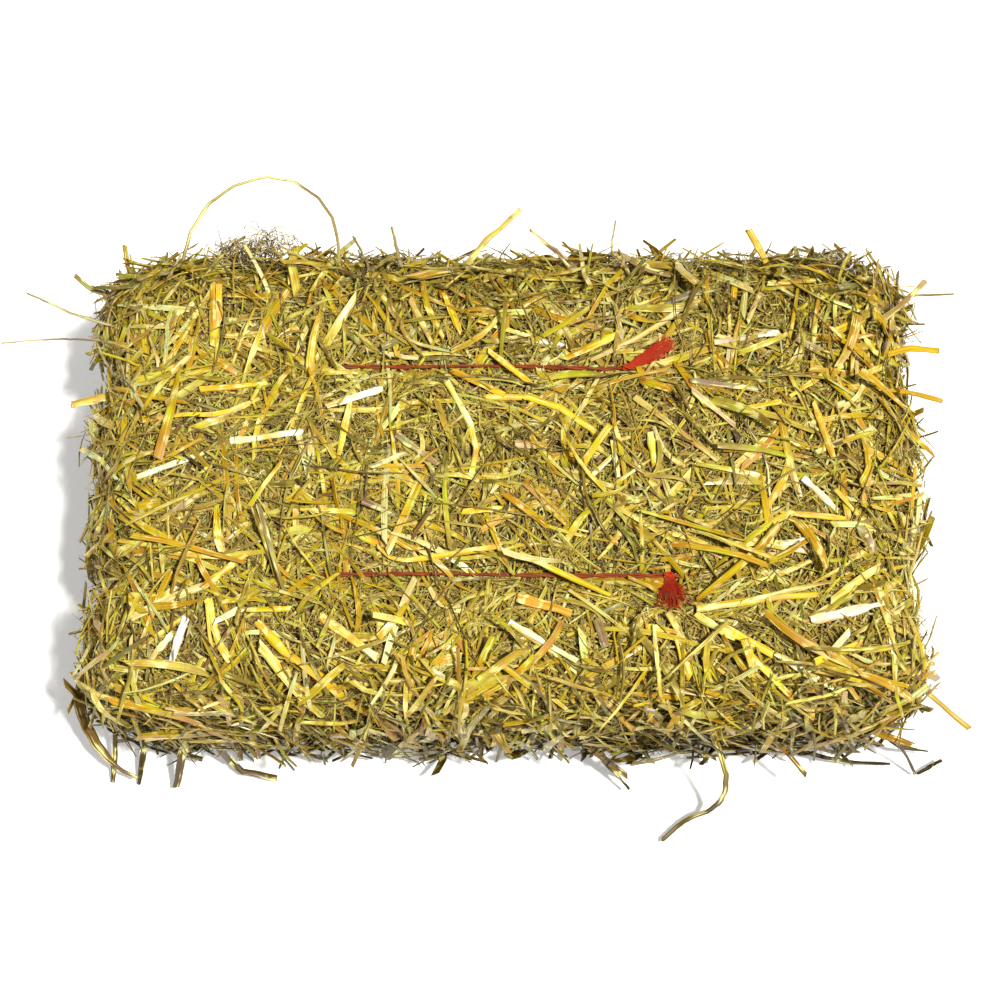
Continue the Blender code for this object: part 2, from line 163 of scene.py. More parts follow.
class NodeBoard:
    """Adds nodes and links to one node tree."""

    def __init__(self, tree: bpy.types.NodeTree) -> None:
        """Works on a tree.

        Args:
            tree: The shader or geometry tree.
        """
        self.tree = tree

    def node(self, kind: str, settings: dict | None = None, inputs: dict | None = None) -> bpy.types.Node:
        """Adds a node.

        Args:
            kind: The node's type.
            settings: Its properties, with a colour ramp's under "stops" as (place, colour) pairs.
            inputs: The value, socket or expression of each input, by name or number.

        Returns:
            The node.
        """
        node = self.tree.nodes.new(kind)
        for name, value in (settings or {}).items():
            if name == "stops":
                self._set_stops(node.color_ramp, value)
            else:
                setattr(node, name, value)
        self.fill(node, inputs or {})
        return node

    def fill(self, node: bpy.types.Node, inputs: dict) -> None:
        """Sets or links a node's inputs.

        Args:
            node: The node.
            inputs: The value, socket or expression of each input, by name or number.
        """
        for name, value in inputs.items():
            source = value.socket if isinstance(value, Expression) else value
            if isinstance(source, bpy.types.NodeSocket):
                self.tree.links.new(source, node.inputs[name])
            else:
                node.inputs[name].default_value = source

    def value(
        self, kind: str, settings: dict | None = None, inputs: dict | None = None, output: object = 0
    ) -> Expression:
        """Adds a node and wraps one of its outputs.

        Args:
            kind: The node's type.
            settings: As for node.
            inputs: As for node.
            output: The output's name or number.

        Returns:
            The wrapped output.
        """
        return Expression(self, self.node(kind, settings, inputs).outputs[output])

    def noise(self, place: object, scale: float, detail: float, **more: float) -> Expression:
        """A noise between 0 and 1.

        Args:
            place: Where it is read.
            scale: How fine it is.
            detail: How many finer noises it has on it.
            more: Any other input.

        Returns:
            The noise.
        """
        inputs = {"Vector": place, "Scale": scale, "Detail": detail, **more}
        return self.value("ShaderNodeTexNoise", None, inputs)

    def vector(self, *parts: object) -> Expression:
        """A vector of two or three parts."""
        return self.value("ShaderNodeCombineXYZ", None, dict(enumerate(parts)))

    def parts(self, vector: object) -> list[Expression]:
        """The three parts of a vector."""
        node = self.node("ShaderNodeSeparateXYZ", None, {0: vector})
        return [Expression(self, node.outputs[key]) for key in "XYZ"]

    def attribute(self, name: str) -> Expression:
        """A number that the mesh carries."""
        return self.value("ShaderNodeAttribute", {"attribute_name": name}, output="Fac")

    def point(self) -> Expression:
        """The place on the object."""
        return self.value("ShaderNodeTexCoord", output="Object")

    def pattern_place(self) -> list[Expression]:
        """The place along the straw or strand and round it, each from 0 to 1."""
        return self.parts(self.value("ShaderNodeUVMap", {"uv_map": STRAW_MAP}))[:2]

    def ramp(self, factor: object, stops: list | tuple) -> Expression:
        """A colour from a ramp of (place, shade) stops."""
        colours = [(place, shade.linear()) for place, shade in stops]
        return self.value("ShaderNodeValToRGB", {"stops": colours}, {"Fac": factor}, "Color")

    def bump(self, strength: float, distance: float, height: object) -> Expression:
        """The surface's direction with a fine relief on it."""
        return self.value("ShaderNodeBump", None, {"Strength": strength, "Distance": distance, "Height": height})

    def mix(self, factor: object, first: object, second: object, blend: str = "MIX") -> Expression:
        """Mixes two colours.

        Args:
            factor: How much of the second colour shows, from 0 to 1.
            first: The first colour or socket.
            second: The second colour or socket.
            blend: How they are blended.

        Returns:
            The mixed colour.
        """
        settings = {"data_type": "RGBA", "blend_type": blend}
        return self.value("ShaderNodeMix", settings, {0: factor, 6: first, 7: second}, 2)

    @staticmethod
    def _set_stops(ramp: bpy.types.ColorRamp, stops: list) -> None:
        """Puts the stops on a ramp that starts with two."""
        while len(ramp.elements) < len(stops):
            ramp.elements.new(0.5)
        for element, (place, colour) in zip(ramp.elements, stops):
            element.position = place
            element.color = colour


def new_material(name: str) -> tuple[bpy.types.Material, NodeBoard, bpy.types.Node]:
    """A material with only a Principled shader.

    Args:
        name: The material's name.

    Returns:
        The material, its board and the shader node.
    """
    material = bpy.data.materials.new(name)
    material.use_nodes = True
    return material, NodeBoard(material.node_tree), material.node_tree.nodes["Principled BSDF"]


@dataclass(frozen=True)
class StrawFinish:
    """The finish of dry straw: one tone for each straw, streaked along its length and stained in places, with painted
    shade near the floor and at the back.

    Attributes:
        name: The material's name.
        shades: The colours that the straws' tones run through, evenly spaced.
        roughness: The middle roughness.
        coat: How glossy the skin is.
        streak: How strong the lengthwise streaks are.
        stain: How much of the surface is stained brown.
        spread: How much a straw's own brightness varies.
        drift: How far the colour wanders along one straw.
        bleach: How pale its bleached stretches are.
    """

    name: str
    shades: tuple[Shade, ...]
    roughness: float = 0.5
    coat: float = 0.0
    streak: float = 0.35
    stain: float = 0.3
    spread: float = 0.65
    drift: float = 0.45
    bleach: float = 0.4

    # Painted shade: how far the colour is dimmed and browned near the floor, and dulled towards the back.
    FOOT_SHADE = 0.14
    FOOT_SHADE_LEVELS = (0.02, 0.14)
    BACK_SHADE = 0.22
    BACK_SHADE_DEPTHS = (0.05, 0.16)
    COAT_ROUGHNESS = 0.22
    GLOSS = 0.35

    def material(self) -> bpy.types.Material:
        """Builds the material."""
        material, board, shader = new_material(self.name)
        along, around = board.pattern_place()
        tone, tint = board.attribute("tone"), board.attribute("tint")
        point = board.point()

        patch = board.noise(point, 26.0, 1.0)
        long_place = board.vector(along * 3.4 + tint * 71.0, around * 1.3, tone * 23.0)
        washes = board.noise(long_place, 1.0, 2.0)
        streak_place = board.vector(along * 1.5 + tint * 37.0, around * 24.0 + tone * 53.0, tint * 19.0)
        streaks = board.noise(streak_place, 1.0, 4.0) - 0.5
        base = self._base(board, tone + (patch - 0.5) * 0.3 + (washes - 0.5) * self.drift)
        lit = board.mix(1.0, base, self._light(board, point, tint, streaks, washes), "MULTIPLY")

        pale = board.noise(long_place, 1.7, 1.0) + streaks * 0.9
        bleached = board.mix(pale.rising(0.58, 0.66) * self.bleach, lit, Shade.PALE.linear())
        specks = board.noise(point, 170.0, 4.0, Roughness=0.7) + streaks * 0.3
        stained = specks.rising(0.62 - 0.2 * self.stain, 0.72) * (0.35 + 0.5 * self.stain)
        dirty = board.mix(stained, bleached, Shade.BROWN.linear())
        end = (along - 0.5) * (along - 0.5) * 4.0
        cut = board.mix(end.rising(0.93, 1.0) * 0.35, dirty, Shade.UMBER.linear())
        board.fill(shader, {
            "Base Color": cut,
            "Roughness": self.roughness + streaks * 0.35 + stained * 0.2,
            "Normal": board.bump(0.7, 0.0005, streaks + 0.5),
            "Coat Weight": self.coat,
            "Coat Roughness": self.COAT_ROUGHNESS,
            "Specular IOR Level": self.GLOSS,
        })
        return material

    def _base(self, board: NodeBoard, picked: Expression) -> Expression:
        """The straw's own colour, from its evenly spaced shades."""
        steps = max(len(self.shades) - 1, 1)
        return board.ramp(picked, [(i / steps, shade) for i, shade in enumerate(self.shades)])

    def _light(
        self, board: NodeBoard, point: Expression, tint: Expression, streaks: Expression, washes: Expression
    ) -> Expression:
        """What the colour is multiplied by: the straw's own brightness and streaks, with painted shade that dims and
        browns it near the floor and dulls it towards the back; paler where brighter.
        """
        light = 1.0 + (tint - 0.5) * self.spread + streaks * 3.6 * self.streak + (washes - 0.5) * 0.4
        _, depth, level = board.parts(point)
        # Painted shade: darker low down and towards the back.
        foot_shade_factor = level.rising(*self.FOOT_SHADE_LEVELS) * (1 - self.FOOT_SHADE) + self.FOOT_SHADE
        lean = light * (foot_shade_factor * (1 - depth.rising(*self.BACK_SHADE_DEPTHS) * self.BACK_SHADE))
        hue = (washes - 0.5) * 0.65 + (lean - 0.9) * 0.13 + 0.01
        pallor = tint * 2.3 + 0.95
        parts = {0: lean - lean * hue, 1: lean + lean * hue, 2: (lean ** 2.1) * pallor}
        return board.value("ShaderNodeCombineColor", None, parts)


@dataclass(frozen=True)
class BedFinish:
    """The finish of the matted straw deep in the block: dark, partly its own colour and partly painted shade in the
    gaps between the straws, with crossing fibres.

    Attributes:
        name: The material's name.
        fibre_scale: How fine the fibres are.
    """

    name: str
    fibre_scale: float = 420.0

    MATS = ((0.4, 0.12), (1.5, 0.14), (2.5, 0.10))
    STOPS = ((0.38, Shade.DARK), (0.46, Shade.UMBER), (0.53, Shade.BROWN), (0.60, Shade.TAN), (0.68, Shade.STRAW))
    FOOT_SHADE = 0.12
    FOOT_SHADE_TOP = 0.09

    def material(self) -> bpy.types.Material:
        """Builds the material."""
        material, board, shader = new_material(self.name)
        point = board.point()
        mats = []
        for turn, stretch in self.MATS:
            turned = board.value("ShaderNodeMapping", None, {"Vector": point, "Rotation": (turn, turn * 0.7, turn)})
            drawn = board.value("ShaderNodeMapping", None, {"Vector": turned, "Scale": (stretch, 1.0, 1.0)})
            mats.append(board.noise(drawn, self.fibre_scale, 2.0))
        fibres = (mats[0] + mats[1] + mats[2]) * (1 / 3)
        level = board.parts(point)[2]
        # Painted shade: the bed is darker near the floor.
        inner = fibres - (1 - level.rising(0.0, self.FOOT_SHADE_TOP)) * self.FOOT_SHADE
        board.fill(shader, {
            "Base Color": board.ramp(inner, self.STOPS),
            "Roughness": 0.85,
            "Normal": board.bump(0.9, 0.002, fibres),
        })
        return material


@dataclass(frozen=True)
class TwineFinish:
    """The finish of the dull red twine: fine fibres along each strand, worn and dusty in places.

    Attributes:
        name: The material's name.
        body: The main colour.
        bright: The colour of the fresh fibre in the frayed tails.
    """

    name: str
    body: Shade = Shade.TWINE
    bright: Shade = Shade.TWINE_LIGHT

    def material(self) -> bpy.types.Material:
        """Builds the material."""
        material, board, shader = new_material(self.name)
        along, around = board.pattern_place()
        threads = board.noise(board.vector(along * 90.0, around * 9.0 + along * 160.0), 1.0, 3.0)
        wear = board.noise(board.point(), 120.0, 3.0)
        body = self.body.linear()
        worn = board.mix(threads.rising(0.35, 0.68), Shade.TWINE_DARK.linear(), body)
        lively = board.mix(threads.rising(0.2, 0.6), body, self.bright.linear())
        mixed = board.mix(board.attribute("tone"), worn, lively)
        board.fill(shader, {
            "Base Color": board.mix(wear.rising(0.52, 0.72) * 0.45, mixed, Shade.BROWN.linear()),
            "Roughness": 0.85,
            "Specular IOR Level": 0.12,
            "Normal": board.bump(0.6, 0.0003, threads),
        })
        return material


@lru_cache(maxsize=None)
def tube_layout(stations: int, sides: int) -> tuple[np.ndarray, np.ndarray, np.ndarray]:
    """How the faces of a closed tube join its points.

    Args:
        stations: The number of rings.
        sides: The number of points in a ring.

    Returns:
        The point of every face corner, the first corner of every face, and each corner's place along
        and around the tube.
    """
    corners: list[int] = []
    places: list[tuple[float, float]] = []
    starts: list[int] = []
    for i in range(stations - 1):
        for j in range(sides):
            starts.append(len(corners))
            for a, b in ((i, j), (i, j + 1), (i + 1, j + 1), (i + 1, j)):
                corners.append(a * sides + b % sides)
                places.append((a / (stations - 1), b / sides))
    for i, order in ((0, range(sides - 1, -1, -1)), (stations - 1, range(sides))):
        starts.append(len(corners))
        for j in order:
            corners.append(i * sides + j)
            places.append((i / (stations - 1), j / sides))
    return np.array(corners), np.array(starts), np.array(places)


@dataclass
class Straws:
    """Many closed tubes with the same number of rings and sides.

    Attributes:
        points: Their points, by tube, ring, place in the ring and coordinate.
        tone: A number from 0 to 1 for each tube, which picks its colour.
        tint: A second such number, which moves its pattern and brightness.
    """

    points: np.ndarray
    tone: np.ndarray
    tint: np.ndarray

    def centres(self) -> np.ndarray:
        """The middle of each ring."""
        return self.points.mean(axis=2)

    def kept(self, mask: np.ndarray) -> "Straws":
        """The tubes that a mask marks."""
        return Straws(self.points[mask], self.tone[mask], self.tint[mask])

    def mesh(self, name: str) -> bpy.types.Mesh:
        """Makes one mesh of all the tubes, with a pattern map and a bake map.

        Args:
            name: The mesh's name.

        Returns:
            The mesh.
        """
        count, stations, sides, _ = self.points.shape
        corners, starts, places = tube_layout(stations, sides)
        each = stations * sides
        shift = np.arange(count)[:, None]
        loops = (corners[None] + shift * each).ravel()
        mesh = bpy.data.meshes.new(name)
        mesh.vertices.add(count * each)
        mesh.vertices.foreach_set("co", self.points.astype(np.float32).ravel())
        mesh.loops.add(len(loops))
        mesh.loops.foreach_set("vertex_index", loops.astype(np.int32))
        mesh.polygons.add(count * len(starts))
        mesh.polygons.foreach_set("loop_start", (starts[None] + shift * len(corners)).ravel().astype(np.int32))
        self._add_maps(mesh, places, count)
        for key, numbers in (("tone", self.tone), ("tint", self.tint)):
            layer = mesh.attributes.new(key, "FLOAT", "POINT")
            layer.data.foreach_set("value", np.repeat(numbers, each).astype(np.float32))
        mesh.update(calc_edges=True)
        mesh.validate()
        mesh.shade_smooth()
        mesh.set_sharp_from_angle(angle=math.radians(50))
        return mesh

    def piece(self, name: str, slot: str, material: bpy.types.Material, replaced: tuple[str, ...] = ()) -> None:
        """Makes the tubes a piece of the scene.

        Args:
            name: The piece's name.
            slot: A material slot's name; not used.
            material: Its material.
            replaced: The solids that it stands for.
        """
        new_piece(name, self.mesh(name), material, replaced)

    @staticmethod
    def _add_maps(mesh: bpy.types.Mesh, places: np.ndarray, count: int) -> None:
        """Adds the pattern map, and the bake map in which each tube has a cell of its own."""
        columns = math.ceil(math.sqrt(count))
        index = np.arange(count)
        cell = np.stack((index % columns, index // columns), axis=1)[:, None, :]
        margin = 0.08
        baked = (cell + margin + places[None] * (1 - 2 * margin)) / columns
        drawn = np.broadcast_to(places[None], baked.shape)
        for title, values in ((BAKE_MAP, baked), (STRAW_MAP, drawn)):
            layer = mesh.uv_layers.new(name=title)
            layer.uv.foreach_set("vector", np.ascontiguousarray(values, np.float32).ravel())
        mesh.uv_layers.active = mesh.uv_layers[BAKE_MAP]


def unit(vectors: np.ndarray) -> np.ndarray:
    """The vectors at a length of one."""
    return vectors / np.maximum(np.linalg.norm(vectors, axis=-1, keepdims=True), 1e-12)


def square_to(along: np.ndarray, hint: np.ndarray) -> np.ndarray:
    """The part of a hint that is square to the path's direction at each ring, at a length of one."""
    return unit(hint - (hint * along).sum(axis=1, keepdims=True) * along)


def travelled(line: np.ndarray) -> np.ndarray:
    """How far along a line each of its points is."""
    return np.concatenate(([0.0], np.cumsum(np.linalg.norm(np.diff(line, axis=0), axis=1))))


def read_off(line: np.ndarray, own: np.ndarray, places: np.ndarray) -> np.ndarray:
    """The points of a line at some places.

    Args:
        line: The line's own points.
        own: The place of each of them.
        places: The places to read.

    Returns:
        The points there.
    """
    return np.stack([np.interp(places, own, line[:, k]) for k in range(3)], axis=1)


def off_floor(points: np.ndarray, gap: float = 0.0) -> np.ndarray:
    """Lifts points off the floor, in place.

    Args:
        points: Any array of points.
        gap: How far over the usual clearance they stay.

    Returns:
        The same array.
    """
    points[..., 2] = np.maximum(points[..., 2], PressedBed.FLOOR + gap)
    return points


def solid_tree(node: str) -> BVHTree:
    """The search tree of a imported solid."""
    solid = frame["nodes"][node].data
    return BVHTree.FromPolygons([v.co for v in solid.vertices], [p.vertices for p in solid.polygons])


def smooth_path(route: np.ndarray, count: int) -> np.ndarray:
    """A curve with even steps along a route, with the route's corners cut off.

    Args:
        route: The route's own points.
        count: How many points the curve has.

    Returns:
        The curve's points.
    """
    curve = route
    if len(route) > 2:
        curve = np.empty((2 * len(route) - 2, 3))
        curve[0::2] = route[:-1] * 0.75 + route[1:] * 0.25
        curve[1::2] = route[:-1] * 0.25 + route[1:] * 0.75
        curve[[0, -1]] = route[[0, -1]]
    steps = travelled(curve)
    return read_off(curve, steps, np.linspace(0.0, steps[-1], count))


def swept(path: np.ndarray, up: np.ndarray, width: np.ndarray, thick: np.ndarray, section: np.ndarray) -> np.ndarray:
    """The rings of a tube along a path.

    Args:
        path: The centre of each ring.
        up: Which way the section's thickness points, for all rings or for each.
        width: The width at each ring.
        thick: The thickness at each ring.
        section: The section's points, across and up, from -0.5 to 0.5.

    Returns:
        The points, by ring and place in the ring.
    """
    along = unit(np.gradient(path, axis=0))
    side = unit(np.cross(np.broadcast_to(up, path.shape), along))
    lifted = np.cross(along, side)
    across = section[None, :, 0, None] * (width[:, None, None] * side[:, None, :])
    upward = section[None, :, 1, None] * (thick[:, None, None] * lifted[:, None, :])
    return path[:, None, :] + across + upward


def cut_ends(
    rings: np.ndarray, path: np.ndarray, along: np.ndarray, up: np.ndarray, slopes: list[float]
) -> None:
    """Cuts both ends of a tube at a slant.

    Args:
        rings: The tube's rings, which change.
        path: The centre of each ring.
        along: The path's direction at each ring.
        up: Which way is up at each ring.
        slopes: How steep the first and the last cut are.
    """
    side = unit(np.cross(up, along))
    for end, slope in zip((0, -1), slopes):
        offset = (rings[end] - path[end]) @ side[end]
        rings[end] += along[end] * (offset * slope)[:, None]


def rolled(up: np.ndarray, along: np.ndarray, angle: np.ndarray) -> np.ndarray:
    """Turns directions about the path.

    Args:
        up: The directions.
        along: The path's direction at each ring.
        angle: The turn at each ring, in radians.

    Returns:
        The turned directions.
    """
    side = np.cross(along, up)
    return up * np.cos(angle)[:, None] + side * np.sin(angle)[:, None]


def crushed(place: np.ndarray, rng: np.random.Generator, depth: float) -> np.ndarray:
    """How squeezed a stalk is along its length, about one.

    Args:
        place: The place of each ring, from 0 to 1.
        rng: Where the chances come from.
        depth: How strong the squeezes are.

    Returns:
        A factor for the width at each ring.
    """
    knots = np.linspace(0, 1, 9)
    return 1 + depth * np.interp(place, knots, rng.uniform(-1, 1, len(knots)))


def ring_section(sides: int) -> np.ndarray:
    """A round section, wide and thick one.

    Args:
        sides: The number of points.

    Returns:
        The points.
    """
    turn = (np.arange(sides) + 0.5) * math.tau / sides
    return np.stack((np.cos(turn), np.sin(turn)), axis=1) * 0.5


@dataclass(frozen=True)
class StrawShape:
    """One kind of scattered straw, of which a few different pieces are made.

    Attributes:
        sides: Points in a ring.
        stations: Rings.
        length: The usual length.
        width: The narrowest and widest width.
        flatness: Thickness as a share of the width, least and most.
        sway: How far it bends sideways, as a share of the length.
        bow: How far it bends up or down, as a share of the length.
        twist: The most that it turns from end to end, in degrees.
        tip: The width at its ends as a share of the width in the middle.
        kinked: The share of pieces that have a sharp bend.
    """

    sides: int
    stations: int
    length: float
    width: tuple[float, float]
    flatness: tuple[float, float]
    sway: float
    bow: float
    twist: float
    tip: float
    kinked: float

    def piece(self, rng: np.random.Generator) -> np.ndarray:
        """Makes the points of one piece along X, centred at the origin.

        Args:
            rng: Where the chances come from.

        Returns:
            The points, by ring and place in the ring.
        """
        place = np.linspace(-0.5, 0.5, self.stations)
        arch = 1 - (2 * place) ** 2
        wave = np.sin((place + rng.uniform(-0.3, 0.3)) * math.tau * 0.75)
        sideways = rng.uniform(-1, 1) * arch + rng.uniform(-0.3, 0.3) * wave
        if rng.random() < self.kinked:
            sideways = rng.choice((-1, 1)) * np.abs(place - rng.uniform(-0.25, 0.25)) * 1.6
        upward = rng.uniform(-0.4, 1) * arch
        path = np.stack((place, sideways * self.sway, upward * self.bow), axis=1) * self.length
        along = unit(np.gradient(path, axis=0))
        turn = np.radians(rng.uniform(-self.twist, self.twist)) * place
        up = rolled(np.broadcast_to(UP, path.shape), along, turn)
        width = rng.uniform(*self.width) * (1 - (1 - self.tip) * (2 * np.abs(place)) ** 2.2)
        width = width * (1 + rng.uniform(-0.35, 0.35) * 2 * place)
        thick = width * rng.uniform(*self.flatness)
        rings = swept(path, up, width, thick, ring_section(self.sides))
        cut_ends(rings, path, along, up, [math.tan(rng.uniform(-1.05, 1.05)) for _ in range(2)])
        return rings


class StrawKind(Enum):
    """The kinds of scattered straw."""

    BIT = StrawShape(4, 2, 12 * MM, (1.3 * MM, 2.9 * MM), (0.22, 0.45), 0.0, 0.0, 50, 0.85, 0.0)
    FIBRE = StrawShape(3, 4, 21 * MM, (0.4 * MM, 0.8 * MM), (0.7, 1.0), 0.32, 0.16, 60, 0.35, 0.2)
    STEM = StrawShape(4, 4, 32 * MM, (1.7 * MM, 3.2 * MM), (0.3, 0.6), 0.10, 0.05, 60, 0.75, 0.35)
    RIBBON = StrawShape(4, 6, 30 * MM, (1.8 * MM, 3.8 * MM), (0.12, 0.2), 0.26, 0.16, 150, 0.4, 0.1)
    BLADE = StrawShape(6, 5, 46 * MM, (3.1 * MM, 5.6 * MM), (0.16, 0.28), 0.09, 0.05, 80, 0.8, 0.3)
    WISP = StrawShape(3, 9, 60 * MM, (0.8 * MM, 1.3 * MM), (0.8, 1.0), 0.24, 0.08, 30, 0.6, 0.0)


SLOTS = {
    StrawKind.BIT: "straw",
    StrawKind.FIBRE: "brown_straw",
    StrawKind.STEM: "straw",
    StrawKind.RIBBON: "cream_straw",
    StrawKind.BLADE: "golden_straw",
    StrawKind.WISP: "brown_straw",
}


class ScatterTree:
    """The geometry tree that lays pieces over a surface."""

    NUMBERS = ("Density", "Shortest", "Longest", "Slimmest", "Broadest", "Pitch", "Roll", "Fan", "Sink", "Rise")
    SOCKETS = dict.fromkeys(NUMBERS, "NodeSocketFloat") | {
        "Seed": "NodeSocketInt", "Pieces": "NodeSocketCollection", "Material": "NodeSocketMaterial"
    }
    FLOW_SCALE = 9.0
    FLOW_MIDDLE = (0.46, 0.5, 0.8)

    def __init__(self) -> None:
        """Builds the tree."""
        self.tree = bpy.data.node_groups.new("scatter_straw", "GeometryNodeTree")
        face = self.tree.interface
        face.new_socket("Geometry", in_out="OUTPUT", socket_type="NodeSocketGeometry")
        face.new_socket("Geometry", in_out="INPUT", socket_type="NodeSocketGeometry")
        self.keys = {
            name: face.new_socket(name, in_out="INPUT", socket_type=kind).identifier
            for name, kind in self.SOCKETS.items()
        }
        self._fill(NodeBoard(self.tree))

    def _fill(self, board: NodeBoard) -> None:
        """Adds the nodes."""
        given = board.node("NodeGroupInput").outputs
        cover = board.value("GeometryNodeInputNamedAttribute", {"data_type": "FLOAT"}, {"Name": "cover"}, "Attribute")
        spread = board.node(
            "GeometryNodeDistributePointsOnFaces",
            {"distribute_method": "RANDOM"},
            {"Mesh": given["Geometry"], "Density": cover * given["Density"], "Seed": given["Seed"]},
        )
        lift = self._chance(board, given, given["Sink"], given["Rise"], 1)
        outward = board.value(
            "ShaderNodeVectorMath", {"operation": "SCALE"}, {0: spread.outputs["Normal"], "Scale": lift}
        )
        placed = board.value(
            "GeometryNodeSetPosition", None, {"Geometry": spread.outputs["Points"], "Offset": outward}
        )
        roll = self._chance(board, given, given["Roll"], Expression(board, given["Roll"]) * -1.0, 2)
        pitch = self._chance(board, given, given["Pitch"], Expression(board, given["Pitch"]) * -1.0, 3)
        yaw = self._chance(board, given, Expression(board, given["Fan"]) * -1.0, given["Fan"], 4)
        lean = board.vector(roll, pitch, yaw)
        turn = board.value("FunctionNodeEulerToRotation", None, {0: lean})
        place = board.value("GeometryNodeInputPosition")
        grain = {"Vector": place, "Scale": self.FLOW_SCALE, "Detail": 1.0}
        flow = board.value("ShaderNodeTexNoise", None, grain, "Color")
        swirl = board.value("ShaderNodeVectorMath", {"operation": "SUBTRACT"}, {0: flow, 1: self.FLOW_MIDDLE})
        sloped = board.value(
            "FunctionNodeAlignRotationToVector",
            {"axis": "X", "pivot_axis": "Z"},
            {"Rotation": spread.outputs["Rotation"], "Vector": swirl},
        )
        turned = board.value(
            "FunctionNodeRotateRotation", {"rotation_space": "LOCAL"}, {"Rotation": sloped, "Rotate By": turn}
        )
        long = self._chance(board, given, given["Shortest"], given["Longest"], 5)
        broad = self._chance(board, given, given["Slimmest"], given["Broadest"], 6)
        size = board.vector(long, broad, broad)
        pieces = board.value(
            "GeometryNodeCollectionInfo",
            None,
            {"Collection": given["Pieces"], "Separate Children": True, "Reset Children": True},
        )
        shape = board.value(
            "GeometryNodeInstanceOnPoints",
            None,
            {"Points": placed, "Instance": pieces, "Pick Instance": True, "Rotation": turned, "Scale": size},
        )
        for step, name in ((7, "tone"), (8, "tint")):
            chance = self._chance(board, given, 0.0, 1.0, step)
            shape = board.value(
                "GeometryNodeStoreNamedAttribute",
                {"data_type": "FLOAT", "domain": "INSTANCE"},
                {"Geometry": shape, "Name": name, "Value": chance},
            )
        real = board.value("GeometryNodeRealizeInstances", None, {"Geometry": shape})
        dressed = board.value("GeometryNodeSetMaterial", None, {"Geometry": real, "Material": given["Material"]})
        board.node("NodeGroupOutput", None, {"Geometry": dressed})

    @staticmethod
    def _chance(board: NodeBoard, given: object, low: object, high: object, step: int) -> Expression:
        """A random number between two values, other for each step."""
        seed = Expression(board, given["Seed"]) + step * 101.0
        return board.value("FunctionNodeRandomValue", {"data_type": "FLOAT"}, {2: low, 3: high, 8: seed}, 1)

    def points(self, surface: bpy.types.Mesh, values: dict[str, object]) -> bpy.types.Mesh:
        """Runs the tree on a surface.

        Args:
            surface: The surface, with its cover as an attribute.
            values: The value of each named input.

        Returns:
            The plain mesh of all the pieces.
        """
        carrier = bpy.data.objects.new("scatter", surface)
        bpy.context.scene.collection.objects.link(carrier)
        modifier = carrier.modifiers.new("scatter", "NODES")
        modifier.node_group = self.tree
        for name, value in values.items():
            modifier[self.keys[name]] = value
        graph = bpy.context.evaluated_depsgraph_get()
        mesh = bpy.data.meshes.new_from_object(carrier.evaluated_get(graph))
        carrier.modifiers.remove(modifier)
        bpy.data.objects.remove(carrier, do_unlink=True)
        return mesh


@dataclass
class Guard:
    """A line on the bale that scattered straw mostly leaves clear.

    Attributes:
        line: Points along it.
        reach: How far beside it straw is kept away.
        passing: The share of straws that may cross it.
        all_round: Whether it counts in space and not just as seen from above.
    """

    line: np.ndarray
    reach: float
    passing: float
    all_round: bool = False

    def crossed(self, samples: np.ndarray) -> np.ndarray:
        """Which straws pass over the line.

        Args:
            samples: Points along each straw.

        Returns:
            A mask of the straws.
        """
        axes = 3 if self.all_round else 2
        low = self.line.min(axis=0) - self.reach
        high = self.line.max(axis=0) + self.reach
        near = ((samples[..., :axes] > low[:axes]) & (samples[..., :axes] < high[:axes])).all(axis=-1)
        near &= samples[..., 2] > low[2]
        found = np.zeros(len(samples), bool)
        which, where = np.nonzero(near)
        for start in range(0, len(which), 20000):
            some = slice(start, start + 20000)
            picked = samples[which[some], where[some]]
            gap = np.linalg.norm(picked[:, None, :axes] - self.line[None, :, :axes], axis=-1)
            closest = gap.argmin(axis=1)
            over = picked[:, 2] > self.line[closest, 2] - 0.0004
            hit = (gap[np.arange(len(gap)), closest] < self.reach) & (over | self.all_round)
            found[which[some][hit]] = True
        return found


class Cover(Enum):
    """Where on the bale a layer lies."""

    TOP = "top"
    SIDES = "sides"
    EDGES = "edges"
    BACK = "back"
    FRONT = "front"
    ENDS = "ends"
    FOOT = "foot"

    def weight(self, place: np.ndarray, normal: np.ndarray, height: float) -> np.ndarray:
        """How dense the layer is at each point of the surface, from 0 to 1.

        Args:
            place: The points.
            normal: The surface's direction there.
            height: The height of the bale.

        Returns:
            The weights.
        """
        up = np.clip((normal[:, 2] - 0.35) / 0.25, 0, 1)
        down = np.clip((-normal[:, 2] - 0.6) / 0.25, 0, 1)
        if self is Cover.TOP:
            return up
        if self is Cover.FOOT:
            return down
        if self is Cover.BACK:
            return np.clip(normal[:, 1] / 0.4, 0, 1) * (place[:, 2] > 0.55 * height) * (normal[:, 2] < 0.85)
        if self is Cover.FRONT:
            return np.clip(-normal[:, 1] / 0.4, 0, 1) * (1 - down)
        if self is Cover.ENDS:
            return np.clip(np.abs(normal[:, 0]) / 0.5 - 0.2, 0, 1) * (1 - down)
        if self is Cover.EDGES:
            return np.clip(1 - np.abs(normal[:, 2] - 0.4) / 0.5, 0, 1) * (place[:, 2] > 0.15 * height)
        return (1 - up) * (1 - down)


